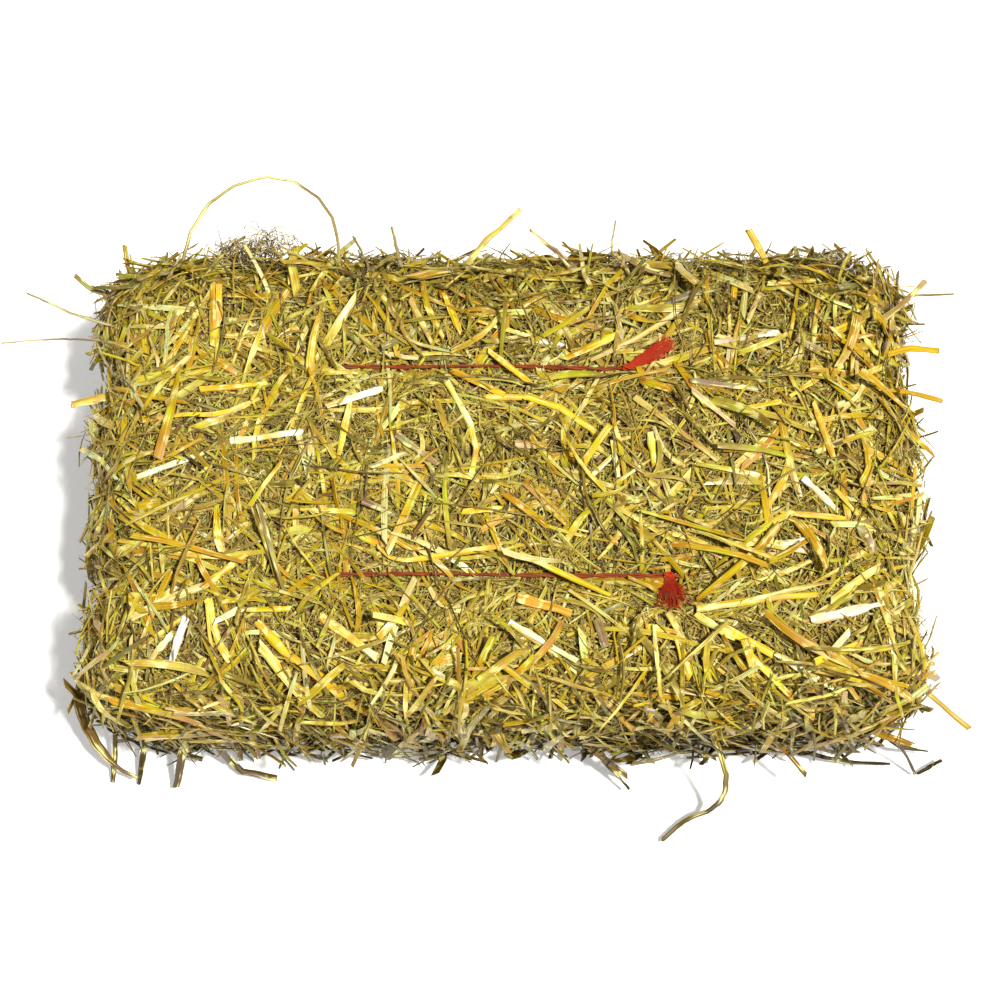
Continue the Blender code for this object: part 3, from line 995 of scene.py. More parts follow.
class PressedBed:
    """The pressed block under the scattered straw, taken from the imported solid."""

    VOXEL = 5.9 * MM
    SMOOTHING = 8
    DEPTH = 3.6 * MM
    UNDERCUT = 7 * MM
    FLOOR = 0.6 * MM
    VALLEY_Y = (-68 * MM, 68 * MM)
    VALLEY_DEPTH = 4.2 * MM
    VALLEY_WIDTH = 8 * MM

    def __init__(self) -> None:
        """Makes the smooth surface and its tree."""
        self.surface = self._smoothed(frame["nodes"]["straw_block"])
        self.place = self._read("co")
        self.normal = self._read("normal")
        for y in self.VALLEY_Y:
            near = np.exp(-(((self.place[:, 1] - y) / self.VALLEY_WIDTH) ** 2))
            self.place -= self.normal * (near * self.VALLEY_DEPTH)[:, None]
        self.place[:, 2] = np.maximum(self.place[:, 2], 0.0)
        self.surface.vertices.foreach_set("co", self.place.astype(np.float32).ravel())
        self.surface.update()
        self.height = float(self.place[:, 2].max())
        polygons = [tuple(p.vertices) for p in self.surface.polygons]
        self.tree = BVHTree.FromPolygons(self.place.tolist(), polygons)

    def _read(self, key: str) -> np.ndarray:
        """One vector of each point of the surface."""
        flat = np.empty(len(self.surface.vertices) * 3, np.float32)
        self.surface.vertices.foreach_get(key, flat)
        return flat.reshape(-1, 3).astype(float)

    def _smoothed(self, node: bpy.types.Object) -> bpy.types.Mesh:
        """A smooth closed copy of a solid, without its sharp straws."""
        copy = bpy.data.objects.new("bed_form", node.data.copy())
        bpy.context.scene.collection.objects.link(copy)
        form = bmesh.new()
        form.from_mesh(copy.data)
        bmesh.ops.remove_doubles(form, verts=form.verts, dist=1e-6)
        form.to_mesh(copy.data)
        form.free()
        remesh = copy.modifiers.new("remesh", "REMESH")
        remesh.mode = "VOXEL"
        remesh.voxel_size = self.VOXEL
        ease = copy.modifiers.new("ease", "SMOOTH")
        ease.factor = 0.5
        ease.iterations = self.SMOOTHING
        graph = bpy.context.evaluated_depsgraph_get()
        mesh = bpy.data.meshes.new_from_object(copy.evaluated_get(graph))
        bpy.data.objects.remove(copy, do_unlink=True)
        mesh.materials.clear()
        mesh.shade_smooth()
        return mesh

    def with_cover(self, cover: Cover) -> bpy.types.Mesh:
        """A copy of the surface that carries a layer's weights.

        Args:
            cover: Where the layer lies.

        Returns:
            The copy.
        """
        mesh = self.surface.copy()
        layer = mesh.attributes.new("cover", "FLOAT", "POINT")
        layer.data.foreach_set("value", cover.weight(self.place, self.normal, self.height).astype(np.float32))
        return mesh

    def heights(self, points: np.ndarray) -> tuple[np.ndarray, np.ndarray]:
        """How far points are outside the surface, and which way is out there.

        Args:
            points: Any array of points.

        Returns:
            The heights and the outward directions.
        """
        flat = points.reshape(-1, 3)
        height = np.empty(len(flat))
        way = np.empty_like(flat)
        for i, point in enumerate(flat):
            at, normal, _, _ = self.tree.find_nearest(Vector(point))
            way[i] = normal
            height[i] = (Vector(point) - at).dot(normal)
        return height.reshape(points.shape[:-1]), way.reshape(points.shape)

    def top_at(self, x: float, y: float) -> np.ndarray:
        """The point of the top face over a place in plan."""
        hit = self.tree.ray_cast(Vector((x, y, 1.0)), Vector((0, 0, -1)))[0]
        return np.array(hit)

    def build(self, material: bpy.types.Material) -> None:
        """Makes the visible bed: the surface sunk a little and roughened.

        Args:
            material: Its material.
        """
        mesh = self.surface.copy()
        rough = np.array([noise.fractal(Vector(p) * 90.0, 1.0, 2.0, 3) for p in self.place])
        under = np.clip((0.085 - self.place[:, 2]) / 0.05, 0, 1) * (np.abs(self.normal[:, 2]) < 0.6)
        sunk = self.place - self.normal * (self.DEPTH + self.UNDERCUT * under - rough * 1.2 * MM)[:, None]
        mesh.vertices.foreach_set("co", off_floor(sunk).astype(np.float32).ravel())
        mesh.update()
        new_piece("straw_bed", mesh, material, ("straw_block",))


def new_piece(
    name: str, mesh: bpy.types.Mesh, material: bpy.types.Material, replaced: tuple[str, ...] = ()
) -> None:
    """Puts a mesh in the scene as a piece that rides on the bale.

    Args:
        name: The piece's name.
        mesh: Its mesh, in place.
        material: Its material.
        replaced: The solids that it stands for.
    """
    mesh.materials.append(material)
    piece = bpy.data.objects.new(name, mesh)
    bpy.context.scene.collection.objects.link(piece)
    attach(piece, BODY)
    if replaced:
        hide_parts(*replaced)
    mesh.calc_loop_triangles()
    LOG.info("%s: %d triangles", name, len(mesh.loop_triangles))


@dataclass
class StrawLayer:
    """One scattered layer of one kind of straw.

    Attributes:
        name: The piece's name.
        kind: The kind of straw.
        cover: Where it lies.
        density: Pieces in a square metre.
        finish: The key of its finish.
        long: The least and most length, as a share of the kind's own.
        broad: The same of its width.
        pitch: The most that a straw tips out of the surface, in degrees.
        roll: The most that it rolls about itself, in degrees.
        fan: The most that it turns away from the slope, in degrees.
        lift: The lowest and highest place of its middle over the surface.
        drape: How much of a straw that stands off the surface is pressed back on it, from 0 to 1.
        reach: How far straws may stand off the surface before they are pressed back.
        seed: The seed of its chances.
    """

    name: str
    kind: StrawKind
    cover: Cover
    density: float
    finish: str
    long: tuple[float, float]
    broad: tuple[float, float]
    pitch: float
    roll: float
    fan: float
    lift: tuple[float, float]
    drape: float
    reach: float
    seed: int

    VARIANTS = 14

    def build(self, tree: ScatterTree, bed: PressedBed, guards: list[Guard], material: bpy.types.Material) -> None:
        """Scatters, drapes and trims the layer, and makes its piece.

        Args:
            tree: The geometry tree that lays the pieces.
            bed: The surface.
            guards: The lines to leave clear.
            material: Its material.
        """
        straws = self._scattered(tree, bed, material)
        self._trimmed(self._draped(straws, bed), guards).piece(self.name, SLOTS[self.kind], material)

    def _pieces(self) -> bpy.types.Collection:
        """The different pieces of this kind, in a collection of their own."""
        rng = np.random.default_rng(self.seed)
        shape = self.kind.value
        collection = bpy.data.collections.new(self.name + "_pieces")
        for i in range(self.VARIANTS):
            points = shape.piece(rng)[None]
            mesh = Straws(points, np.zeros(1), np.zeros(1)).mesh(f"{self.name}_{i}")
            for layer in list(mesh.attributes):
                if layer.name in ("tone", "tint", BAKE_MAP, STRAW_MAP, "sharp_edge"):
                    mesh.attributes.remove(layer)
            collection.objects.link(bpy.data.objects.new(f"{self.name}_{i}", mesh))
        return collection

    def _scattered(self, tree: ScatterTree, bed: PressedBed, material: bpy.types.Material) -> Straws:
        """Lays the pieces over the surface."""
        pieces = self._pieces()
        values = {
            "Density": self.density,
            "Seed": self.seed,
            "Shortest": self.long[0],
            "Longest": self.long[1],
            "Slimmest": self.broad[0],
            "Broadest": self.broad[1],
            "Pitch": math.radians(self.pitch),
            "Roll": math.radians(self.roll),
            "Fan": math.radians(self.fan),
            "Sink": self.lift[0],
            "Rise": self.lift[1],
            "Pieces": pieces,
            "Material": material,
        }
        mesh = tree.points(bed.with_cover(self.cover), values)
        shape = self.kind.value
        each = shape.stations * shape.sides
        total = len(mesh.vertices)
        points = np.empty(total * 3, np.float32)
        mesh.vertices.foreach_get("co", points)
        read = {}
        for key in ("tone", "tint"):
            read[key] = np.empty(total, np.float32)
            mesh.attributes[key].data.foreach_get("value", read[key])
        for item in list(pieces.objects):
            bpy.data.objects.remove(item, do_unlink=True)
        bpy.data.collections.remove(pieces)
        bpy.data.meshes.remove(mesh)
        shaped = points.reshape(-1, shape.stations, shape.sides, 3).astype(float)
        return Straws(shaped, read["tone"][::each], read["tint"][::each])

    def _draped(self, straws: Straws, bed: PressedBed) -> Straws:
        """Presses straws that stand off the surface back towards it, and lifts all off the floor."""
        height, way = bed.heights(straws.centres())
        extra = np.maximum(height - self.reach, 0.0) * self.drape
        straws.points -= (extra[..., None] * way)[:, :, None, :]
        floor = bed.FLOOR
        lowest = straws.points[..., 2].min(axis=2, keepdims=True)
        straws.points[..., 2] += np.maximum(floor - lowest, 0.0)
        return straws

    def _trimmed(self, straws: Straws, guards: list[Guard]) -> Straws:
        """Takes out most of the straws that cross a line that is to stay clear."""
        centres = straws.centres()
        steps = np.linspace(0, centres.shape[1] - 1, 4 * (centres.shape[1] - 1) + 1)
        low = np.floor(steps).astype(int).clip(max=centres.shape[1] - 2)
        share = (steps - low)[None, :, None]
        samples = centres[:, low] * (1 - share) + centres[:, low + 1] * share
        rng = np.random.default_rng(self.seed + 7)
        keep = np.ones(len(samples), bool)
        for guard in guards:
            chance = rng.random(len(samples))
            keep &= ~(guard.crossed(samples) & (chance > guard.passing))
        return straws.kept(keep)


class Look(Enum):
    """What a loose stalk is."""

    FLAT = "flat"
    SPLIT = "split"
    LEAF = "leaf"
    WIRY = "wiry"

    def section(self) -> np.ndarray:
        """The stalk's section, closed, from -0.5 to 0.5 each way."""
        if self is Look.WIRY:
            return ring_section(8)
        opening, wall, count = {
            Look.FLAT: (0.05, 0.16, 9),
            Look.SPLIT: (0.42, 0.24, 8),
            Look.LEAF: (0.50, 0.22, 7),
        }[self]
        turn = np.linspace(-0.25 + opening / 2, 0.75 - opening / 2, count) * math.tau
        outer = np.stack((np.cos(turn), np.sin(turn)), axis=1) * 0.5
        crease = 0.16 * np.exp(-((outer[:, 0] / 0.16) ** 2)) * (outer[:, 1] > 0)
        outer[:, 1] -= crease
        inner = outer * np.array((1 - wall * 0.4, 1 - wall * 2.0))
        ring = np.concatenate((outer, inner[::-1]))
        ring[:, 1] -= (ring[:, 1].max() + ring[:, 1].min()) / 2
        return ring / np.array((1.0, ring[:, 1].max() - ring[:, 1].min()))


@dataclass(frozen=True)
class Stalk:
    """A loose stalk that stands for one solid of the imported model.

    Attributes:
        node: The solid's name.
        route: Its points in millimetres: in plan for one that lies on the top, in space for the others.
        width: Its width in millimetres.
        look: What it is.
        slot: The material slot.
        tone: The number from 0 to 1 that picks its colour.
    """

    node: str
    route: tuple[tuple[float, ...], ...]
    width: float
    look: Look
    slot: str
    tone: float

    SLIMNESS = 0.84
    STATION_STEP = 2.2 * MM
    THICKNESS = 1.9 * MM
    LIFT = 0.8 * MM

    def lies(self) -> bool:
        """Whether it lies on the top face."""
        return len(self.route[0]) == 2

    def path(self) -> np.ndarray:
        """Its centre line, in even steps."""
        if self.lies():
            low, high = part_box(self.node)
            tree = solid_tree(self.node)
            middle = (low[2] + high[2]) / 2
            route = [tree.find_nearest(Vector((x * MM, y * MM, middle)))[0].z for x, y in self.route]
            points = np.array([(x * MM, y * MM, z + self.LIFT) for (x, y), z in zip(self.route, route)])
        else:
            points = np.array(self.route, float) * MM
        reach = np.linalg.norm(np.diff(points, axis=0), axis=1).sum()
        return smooth_path(points, max(int(reach / self.STATION_STEP), 8))

    def guard(self) -> Guard:
        """The line that scattered straw leaves clear."""
        return Guard(self.path(), self.width * MM * 0.55, 0.12)

    def build(self, material: bpy.types.Material) -> None:
        """Makes the stalk's piece.

        Args:
            material: Its material.
        """
        seed = sum(ord(letter) * (i + 1) for i, letter in enumerate(self.node))
        rng = np.random.default_rng(seed)
        path = self.path()
        count = len(path)
        place = np.linspace(0, 1, count)
        waver = np.cumsum(rng.normal(0, 0.10 * MM, (count, 3)), axis=0)
        waver -= np.linspace(waver[0], waver[-1], count)
        path = path + waver
        along = unit(np.gradient(path, axis=0))
        hint = np.broadcast_to(UP, path.shape)
        if np.abs(along[:, 2]).max() > 0.85:
            hint = np.broadcast_to(np.array((0.0, -0.6, 0.8)), path.shape)
        base_up = square_to(along, hint)
        angle = 0.12 * np.sin(place * 9 + rng.uniform(0, 6))
        up = rolled(base_up, along, angle)
        width, thick = self._girth(place, rng)
        rings = swept(path, up, width, thick, self.look.section())
        rings = off_floor(self._torn(rings, along, rng))
        straws = Straws(rings[None], np.array([self.tone]), np.array([rng.random()]))
        straws.piece(self.node + "_straw", self.slot, material, (self.node,))

    def _girth(self, place: np.ndarray, rng: np.random.Generator) -> tuple[np.ndarray, np.ndarray]:
        """Its width and thickness at each ring: wavy, with a joint, and narrower at the tips."""
        wave = 1 + 0.07 * np.sin(place * rng.uniform(5, 11) + rng.uniform(0, 6))
        joint = 1 + 0.22 * np.exp(-(((place - rng.uniform(0.25, 0.75)) / 0.03) ** 2))
        width = np.full(len(place), self.width * self.SLIMNESS * MM)
        if self.look is Look.LEAF:
            width = width * (0.35 + 0.65 * np.sin(np.clip(place * 1.05 + 0.08, 0, 1) * math.pi) ** 0.6)
        elif self.look is Look.WIRY:
            width = width * (1 - 0.45 * place) * joint
        else:
            width = width * (1 - 0.14 * place ** 3) * (1 + (joint - 1) * 0.5)
        thick = {Look.FLAT: 0.34, Look.SPLIT: 0.42, Look.LEAF: 0.28, Look.WIRY: 1.0}[self.look]
        thickness = np.minimum(width * thick, self.THICKNESS) if self.look is not Look.WIRY else width
        dent = crushed(place, rng, 0.14)
        return width * wave * dent, thickness * (2 - wave) * (1.6 - 0.6 * dent ** 2)

    def _torn(self, rings: np.ndarray, along: np.ndarray, rng: np.random.Generator) -> np.ndarray:
        """Tears both ends: the points of the end rings move in or out along the stalk."""
        sides = rings.shape[1]
        for ring, way, depth in ((0, -1, 0.6), (-1, 1, 1.0)):
            wave = np.cumsum(rng.normal(0, 1, sides))
            wave -= np.linspace(wave[0], wave[-1], sides)
            wave = wave / max(np.abs(wave).max(), 1e-6)
            amount = wave * depth * min(self.width * 0.28, 2.0) * MM
            rings[ring] += along[ring][None] * amount[:, None] * way
        return rings


@dataclass(frozen=True)
class LaidStalk:
    """A broad stalk without a solid of its own, at the place where the picture's frame shows it.

    Attributes:
        seen: Its points as seen through the camera, in points of a frame 984 wide, each with a height in
            millimetres where it isn't on the straw.
        width: Its width in millimetres.
        tone: The number from 0 to 1 that picks its colour.
    """

    seen: tuple[tuple[float, ...], ...]
    width: float
    tone: float

    STATIONS = 16
    LIFT = 2.9 * MM
    GUARD_SHARE = 0.4
    GUARD_GAP = 0.6 * MM
    PASSING = 0.35

    def guard(self, path: np.ndarray) -> Guard:
        """The line that scattered straw leaves clear, along the stalk's centre line."""
        return Guard(path, self.width * MM * self.GUARD_SHARE + self.GUARD_GAP, self.PASSING, all_round=True)

    def path(self, bed: PressedBed, studio: "Studio") -> np.ndarray:
        """Its centre line, found by looking through the camera.

        Args:
            bed: The surface that it lies on.
            studio: Where the camera is.

        Returns:
            The points, in even steps.
        """
        found = []
        for x, y, *height in self.seen:
            start, way = studio.sight(x, y)
            hit = bed.tree.ray_cast(Vector(start), Vector(way))[0]
            if height or hit is None:
                level = height[0] * MM if height else 60 * MM
                found.append(start + way * ((level - start[2]) / way[2]))
            else:
                found.append(np.array(hit) + UP * self.LIFT)
        path = smooth_path(np.array(found), self.STATIONS)
        height, way = bed.heights(path)
        return path + way * np.maximum(self.width * MM * 0.15 - height, 0.0)[:, None]

    def rings(self, path: np.ndarray, rng: np.random.Generator) -> np.ndarray:
        """The rings of the stalk.

        Args:
            path: Its centre line.
            rng: Where the chances come from.

        Returns:
            The points, by ring and place in the ring.
        """
        place = np.linspace(0, 1, len(path))
        along = unit(np.gradient(path, axis=0))
        base_up = square_to(along, UP)
        angle = 0.45 * np.sin(place * rng.uniform(2, 6) + rng.uniform(0, 6))
        dent = crushed(place, rng, 0.16)
        broad = self.width * Stalk.SLIMNESS * MM
        width = broad * dent * (1 - 0.25 * (2 * np.abs(place - 0.5)) ** 3)
        thick = broad * 0.3 * (1.5 - 0.5 * dent ** 3)
        tube = swept(path, rolled(base_up, along, angle), width, thick, Look.FLAT.section())
        cut_ends(tube, path, along, base_up, [rng.uniform(-1.2, 1.2) for _ in range(2)])
        return off_floor(tube)


@dataclass(frozen=True)
class Twine:
    """One of the two twines: two loosely twisted strands, their knot and their frayed tail.

    Attributes:
        node: The solid that it stands for.
        knot_x: Where the knot is.
        heading: Which way the tail points in plan.
        tail_length: How long the tail is.
        tail_width: How wide the tail spreads.
        shown: The stretch of the top on which the twine can be seen.
        seed: The seed of its chances.
    """

    node: str
    knot_x: float
    heading: tuple[float, float]
    tail_length: float
    tail_width: float
    shown: tuple[float, float]
    seed: int

    STRAND = 1.6 * MM
    TWIST_PITCH = 32 * MM
    STEP = 2.3 * MM
    HAIRS = 400
    TAIL_HAIRS = 290
    TOP_LIFT = 2.0 * MM
    SINK = 2.6 * MM

    def loop(self) -> np.ndarray:
        """The middle of the twine round the bale, in even steps, as a closed line."""
        tree = solid_tree(self.node)
        low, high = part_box(self.node)
        y = self._side_y()
        heart = Vector((0.0, y, (low[2] + high[2]) / 2))
        half = (high[0] - low[0]) / 2
        tall = (high[2] - low[2]) / 2
        found = []
        for turn in np.linspace(0, math.tau, 1440, endpoint=False):
            way = Vector((math.cos(turn) * half, 0.0, math.sin(turn) * tall)).normalized()
            hit = tree.ray_cast(heart, way)[0]
            if hit is not None:
                found.append(np.array(hit + way * 1.2 * MM))
        ring = np.array(found + found[:1])
        steps = travelled(ring)
        line = read_off(ring, steps, np.linspace(0, steps[-1], int(steps[-1] / self.STEP)))[:-1]
        for _ in range(3):
            line = (np.roll(line, 1, axis=0) + line * 2 + np.roll(line, -1, axis=0)) / 4
        line[:, 1] = y
        line = off_floor(line, 1.3 * MM)
        middle = (self.shown[0] + self.shown[1]) / 2
        beyond = np.abs(line[:, 0] - middle) - (self.shown[1] - self.shown[0]) / 2
        shows = np.clip(1 - beyond / (12 * MM), 0, 1)
        on_top = np.clip((line[:, 2] - 0.12) / 0.02, 0, 1)
        line[:, 2] += on_top * (self.TOP_LIFT * shows - self.SINK * (1 - shows))
        return line

    def _side_y(self) -> float:
        """The twine's place across the bale: the middle of its loop."""
        verts = np.array([v.co for v in frame["nodes"][self.node].data.vertices])
        foot = verts[verts[:, 2] < verts[:, 2].min() + 20 * MM]
        return float((foot[:, 1].min() + foot[:, 1].max()) / 2)

    def guards(self, bed: PressedBed) -> list[Guard]:
        """The lines that scattered straw leaves clear: the stretch that shows, the knot and the tail.

        Args:
            bed: The surface that the tail lies on.

        Returns:
            The lines.
        """
        line = self.loop()
        on_top = (line[:, 2] > 0.1) & (line[:, 0] > self.shown[0]) & (line[:, 0] < self.shown[1])
        tail = self._tail_line(line, bed)
        round_ends = np.abs(line[:, 0]) > 0.19
        return [
            Guard(line[on_top], 2.6 * MM, 0.14),
            Guard(tail[:6], self.tail_width * 0.22, 0.1),
            Guard(tail[5:], self.tail_width * 0.42, 0.05),
            Guard(line[round_ends], 2.6 * MM, 0.45, all_round=True),
        ]

    def _tail_line(self, line: np.ndarray, bed: PressedBed) -> np.ndarray:
        """The middle of the tail, from the knot outwards."""
        top = line[line[:, 2] > 0.1]
        knot = top[np.abs(top[:, 0] - self.knot_x).argmin()]
        way = np.array((*self.heading, 0.0))
        way = way / np.linalg.norm(way)
        reach = np.linspace(0, self.tail_length, 12)
        middle = knot + way * reach[:, None]
        arch = np.sin(np.linspace(0, 2.4, 12)) * 2.5 * MM
        for point, rise in zip(middle, arch):
            point[2] = max(point[2], bed.top_at(point[0], point[1])[2] + 0.5 * MM) + 0.8 * MM + rise
        return middle

    def build(self, material: bpy.types.Material, bed: PressedBed) -> None:
        """Makes the twine's piece: strands, fuzz, knot and tail in one mesh.

        Args:
            material: Its material.
            bed: The surface that the tail lies on.
        """
        rng = np.random.default_rng(self.seed)
        line = self.loop()
        tail = self._tail_line(line, bed)
        dull = self._strands(line, rng) + self._fuzz(line, rng)
        fresh = self._knot(tail) + self._tail(tail, rng)
        tones = np.concatenate((np.zeros(len(dull)), rng.uniform(0.35, 1.0, len(fresh))))
        name = self.node + "_strands"
        new_piece(name, joined_tubes(name, list(zip(tones, dull + fresh))), material, (self.node,))

    def _strands(self, line: np.ndarray, rng: np.random.Generator) -> list[np.ndarray]:
        """The two strands, each closed where it meets itself under the bale."""
        start = int(np.argmin(line[:, 2] + np.abs(line[:, 0])))
        line = np.roll(line, -start, axis=0)
        along = unit(np.roll(line, -1, axis=0) - np.roll(line, 1, axis=0))
        across = np.broadcast_to(np.array((0.0, 1.0, 0.0)), line.shape)
        outward = np.cross(along, across)
        turns = round(len(line) * self.STEP / self.TWIST_PITCH)
        place = np.arange(len(line)) / len(line)
        loose = 0.75 + 0.45 * np.sin(place * math.tau * 5 + 1.0) + 0.25 * np.sin(place * math.tau * 13)
        rings = []
        for part in range(2):
            turn = place * math.tau * turns + part * math.pi
            offset = across * np.cos(turn)[:, None] * loose[:, None] + outward * np.sin(turn)[:, None] * 0.62
            path = line + offset * self.STRAND * 0.55
            wobble = 1 + 0.10 * np.sin(place * 900 + part)
            girth = self.STRAND * wobble * (1 + rng.normal(0, 0.04, len(line)))
            rings.append(swept(path, across, girth, girth, ring_section(6)))
        return rings

    def _fuzz(self, line: np.ndarray, rng: np.random.Generator) -> list[np.ndarray]:
        """Short hairs that stand off the strands."""
        along = unit(np.roll(line, -1, axis=0) - np.roll(line, 1, axis=0))
        hairs = []
        for i in rng.integers(0, len(line), self.HAIRS):
            out = np.cross(along[i], (0.0, 1.0, 0.0)) * rng.uniform(0.1, 1.0)
            way = unit(along[i] * rng.uniform(-1, 1) + np.array((0, rng.uniform(-1, 1), 0)) * 0.8 + out)
            reach = rng.uniform(2.0, 5.5) * MM
            steps = np.linspace(0, 1, 3)[:, None]
            curl = np.array((rng.uniform(-1, 1), rng.uniform(-1, 1), 0)) * steps ** 2 * reach * 0.4
            path = line[i] + way * steps * reach + curl
            girth = np.array((0.22, 0.18, 0.08)) * MM
            hairs.append(swept(off_floor(path), UP + 0.01, girth, girth, ring_section(3)))
        return hairs

    def _knot(self, middle: np.ndarray) -> list[np.ndarray]:
        """A small tight knot: a cord that winds round the twine and through itself."""
        heart = middle[0]
        turn = np.linspace(0, math.tau * 2, 64)
        rope = np.stack(
            (
                np.sin(turn * 1.5) * 2.6 * MM,
                np.cos(turn * 1.0) * (1.1 + 0.6 * np.cos(turn * 1.5)) * MM,
                np.sin(turn * 1.0) * (0.9 + 0.5 * np.cos(turn * 1.5)) * MM + 0.3 * MM,
            ),
            axis=1,
        )
        girth = np.full(len(rope), 1.2 * MM)
        return [swept(heart + rope, np.array((0.3, 0.2, 0.93)), girth, girth, ring_section(6))]

    def _tail(self, middle: np.ndarray, rng: np.random.Generator) -> list[np.ndarray]:
        """The frayed tail: a bundle of fibres that spreads to a brush."""
        along = unit(np.gradient(middle, axis=0))
        across = unit(np.cross(along, UP))
        hairs = []
        for _ in range(self.TAIL_HAIRS):
            spread = np.clip(rng.normal(0, 0.5), -1.15, 1.15) + 0.18 * rng.choice((-1, 0, 1))
            rise = rng.uniform(-0.3, 1.2)
            reach = rng.uniform(0.35, 1.08) * (1 - 0.12 * spread ** 2)
            place = np.linspace(0, reach, 6)
            at = read_off(middle, np.linspace(0, 1, len(middle)), place)
            if reach > 1:
                at[-1] += along[-1] * (reach - 1) * self.tail_length
            fan = (0.1 + 0.95 * place ** 1.1) * spread * self.tail_width * 0.5
            lift = place * rise * 3.0 * MM + 0.4 * MM * np.sin(place * 9 + rng.uniform(0, 6))
            path = at + across[0] * fan[:, None] + UP * lift[:, None]
            path += across[0] * (0.8 * MM * np.sin(place * rng.uniform(6, 13) + rng.uniform(0, 6)))[:, None]
            girth = np.linspace(0.55, 0.30, len(path)) * MM * rng.uniform(0.7, 1.2)
            hairs.append(swept(path, UP, girth, girth, ring_section(3)))
        return hairs


def joined_tubes(name: str, rings: list[tuple[float, np.ndarray]]) -> bpy.types.Mesh:
    """One mesh of tubes that may differ in their rings and sides.

    Args:
        name: The mesh's name.
        rings: The tone of each tube, and its points by ring and place in the ring.

    Returns:
        The mesh.
    """
    form = bmesh.new()
    kinds: dict[tuple[int, int], list[tuple[float, np.ndarray]]] = {}
    for tone, tube in rings:
        kinds.setdefault(tube.shape[:2], []).append((tone, tube))
    for shape, tubes in kinds.items():
        tones = np.array([tone for tone, _ in tubes])
        same = Straws(np.array([tube for _, tube in tubes]), tones, np.linspace(0, 1, len(tubes)))
        mesh = same.mesh(f"{name}_{shape[0]}_{shape[1]}")
        form.from_mesh(mesh)
        bpy.data.meshes.remove(mesh)
    result = bpy.data.meshes.new(name)
    form.to_mesh(result)
    form.free()
    return result


class GrownStraws:
    """The short straws that the solid block has on its faces, made as real stems at the same places."""

    TIP_OUT = 3.0 * MM
    TIP_POINTS = 5
    LENGTH = 46 * MM

    def __init__(self, bed: PressedBed) -> None:
        """Finds the straws' tips.

        Args:
            bed: The smooth surface that they stand out of.
        """
        self.bed = bed
        self.tips = self._find()

    def _find(self) -> list[tuple[np.ndarray, np.ndarray, float]]:
        """The middle, direction and width of each tip, in the order of the solid's own points."""
        form = bmesh.new()
        form.from_mesh(frame["nodes"]["straw_block"].data)
        bmesh.ops.remove_doubles(form, verts=form.verts, dist=1e-6)
        form.verts.index_update()
        form.verts.ensure_lookup_table()
        points = np.array([v.co for v in form.verts])
        heights, _ = self.bed.heights(points)
        out = set(np.flatnonzero(heights > self.TIP_OUT).tolist())
        tips = []
        for first in sorted(out):
            if first not in out:
                continue
            out.remove(first)
            group = [first]
            for index in group:
                vertex = form.verts[index]
                near = {edge.other_vert(vertex).index for edge in vertex.link_edges} & out
                out -= near
                group.extend(sorted(near))
            if len(group) < self.TIP_POINTS:
                continue
            ring = points[group]
            heart = ring.mean(axis=0)
            _, _, axes = np.linalg.svd(ring - heart)
            way = axes[2]
            _, outward = self.bed.heights(heart[None])
            if np.dot(way, outward[0]) < 0:
                way = -way
            tips.append((heart, way, float(np.abs((ring - heart) @ axes[0]).max() * 2)))
        form.free()
        return tips

    def build(self, material: bpy.types.Material) -> None:
        """Makes the piece.

        Args:
            material: Its material.
        """
        rng = np.random.default_rng(41)
        rings = []
        for heart, way, width in self.tips:
            place = np.linspace(0, 1, 8)
            side = unit(np.cross(way, UP + 0.01))
            path = heart - way * ((1 - place) * self.LENGTH)[:, None]
            path += side * (np.sin((1 - place) * 2.2) * rng.uniform(-5, 5) * MM)[:, None]
            _, outward = self.bed.heights(heart[None])
            girth = np.full(8, min(width * 1.3, 6.5 * MM)) * (1 + 0.06 * np.sin(place * 8 + rng.uniform(0, 6)))
            rings.append(off_floor(swept(path, outward[0], girth, girth * 0.36, Look.FLAT.section())))
        count = len(rings)
        Straws(np.array(rings), rng.random(count), rng.random(count)).piece("grown_straws", "straw", material)


@dataclass(frozen=True)
class RootTuft:
    """A loose ball of curled root hairs at an edge of the bale.

    Attributes:
        seen: Its middle as seen through the camera, in points of a frame 984 wide.
        level: Its height in millimetres.
        reach: Its radius in millimetres.
        hairs: How many hairs it has.
    """

    seen: tuple[float, float]
    level: float
    reach: float
    hairs: int

    STATIONS = 6

    def tubes(self, studio: "Studio", rng: np.random.Generator) -> list[np.ndarray]:
        """The hairs, each a bent arc about a point near the middle.

        Args:
            studio: Where the camera is.
            rng: Where the chances come from.

        Returns:
            The rings of each hair.
        """
        start, way = studio.sight(*self.seen)
        heart = start + way * ((self.level * MM - start[2]) / way[2])
        hairs = []
        for _ in range(self.hairs):
            first = unit(rng.normal(0, 1, 3))
            axis = unit(np.cross(first, rng.normal(0, 1, 3)))
            turn = np.linspace(0, rng.uniform(1.2, 4.0), self.STATIONS) + rng.uniform(0, math.tau)
            size = self.reach * MM * rng.uniform(0.2, 0.6) * np.linspace(1.0, rng.uniform(0.3, 1.6), self.STATIONS)
            middle = heart + np.clip(rng.normal(0, 0.45, 3), -0.9, 0.9) * np.array((1.3, 0.8, 0.8)) * self.reach * MM
            second = np.cross(axis, first)
            path = middle + (np.cos(turn) * size)[:, None] * first + (np.sin(turn) * size)[:, None] * second
            girth = np.linspace(1.0, 0.6, self.STATIONS) * rng.uniform(0.45, 0.95) * MM
            hairs.append(swept(off_floor(path, 0.5 * MM), axis, girth, girth, ring_section(3)))
        return hairs


TUFTS = (
    RootTuft((236, 252), 144, 12, 130),
    RootTuft((270, 246), 146, 13, 150),
    RootTuft((656, 742), 34, 10, 60),
    RootTuft((200, 738), 36, 10, 60),
    RootTuft((836, 262), 144, 11, 90),
    RootTuft((118, 292), 128, 9, 50),
)


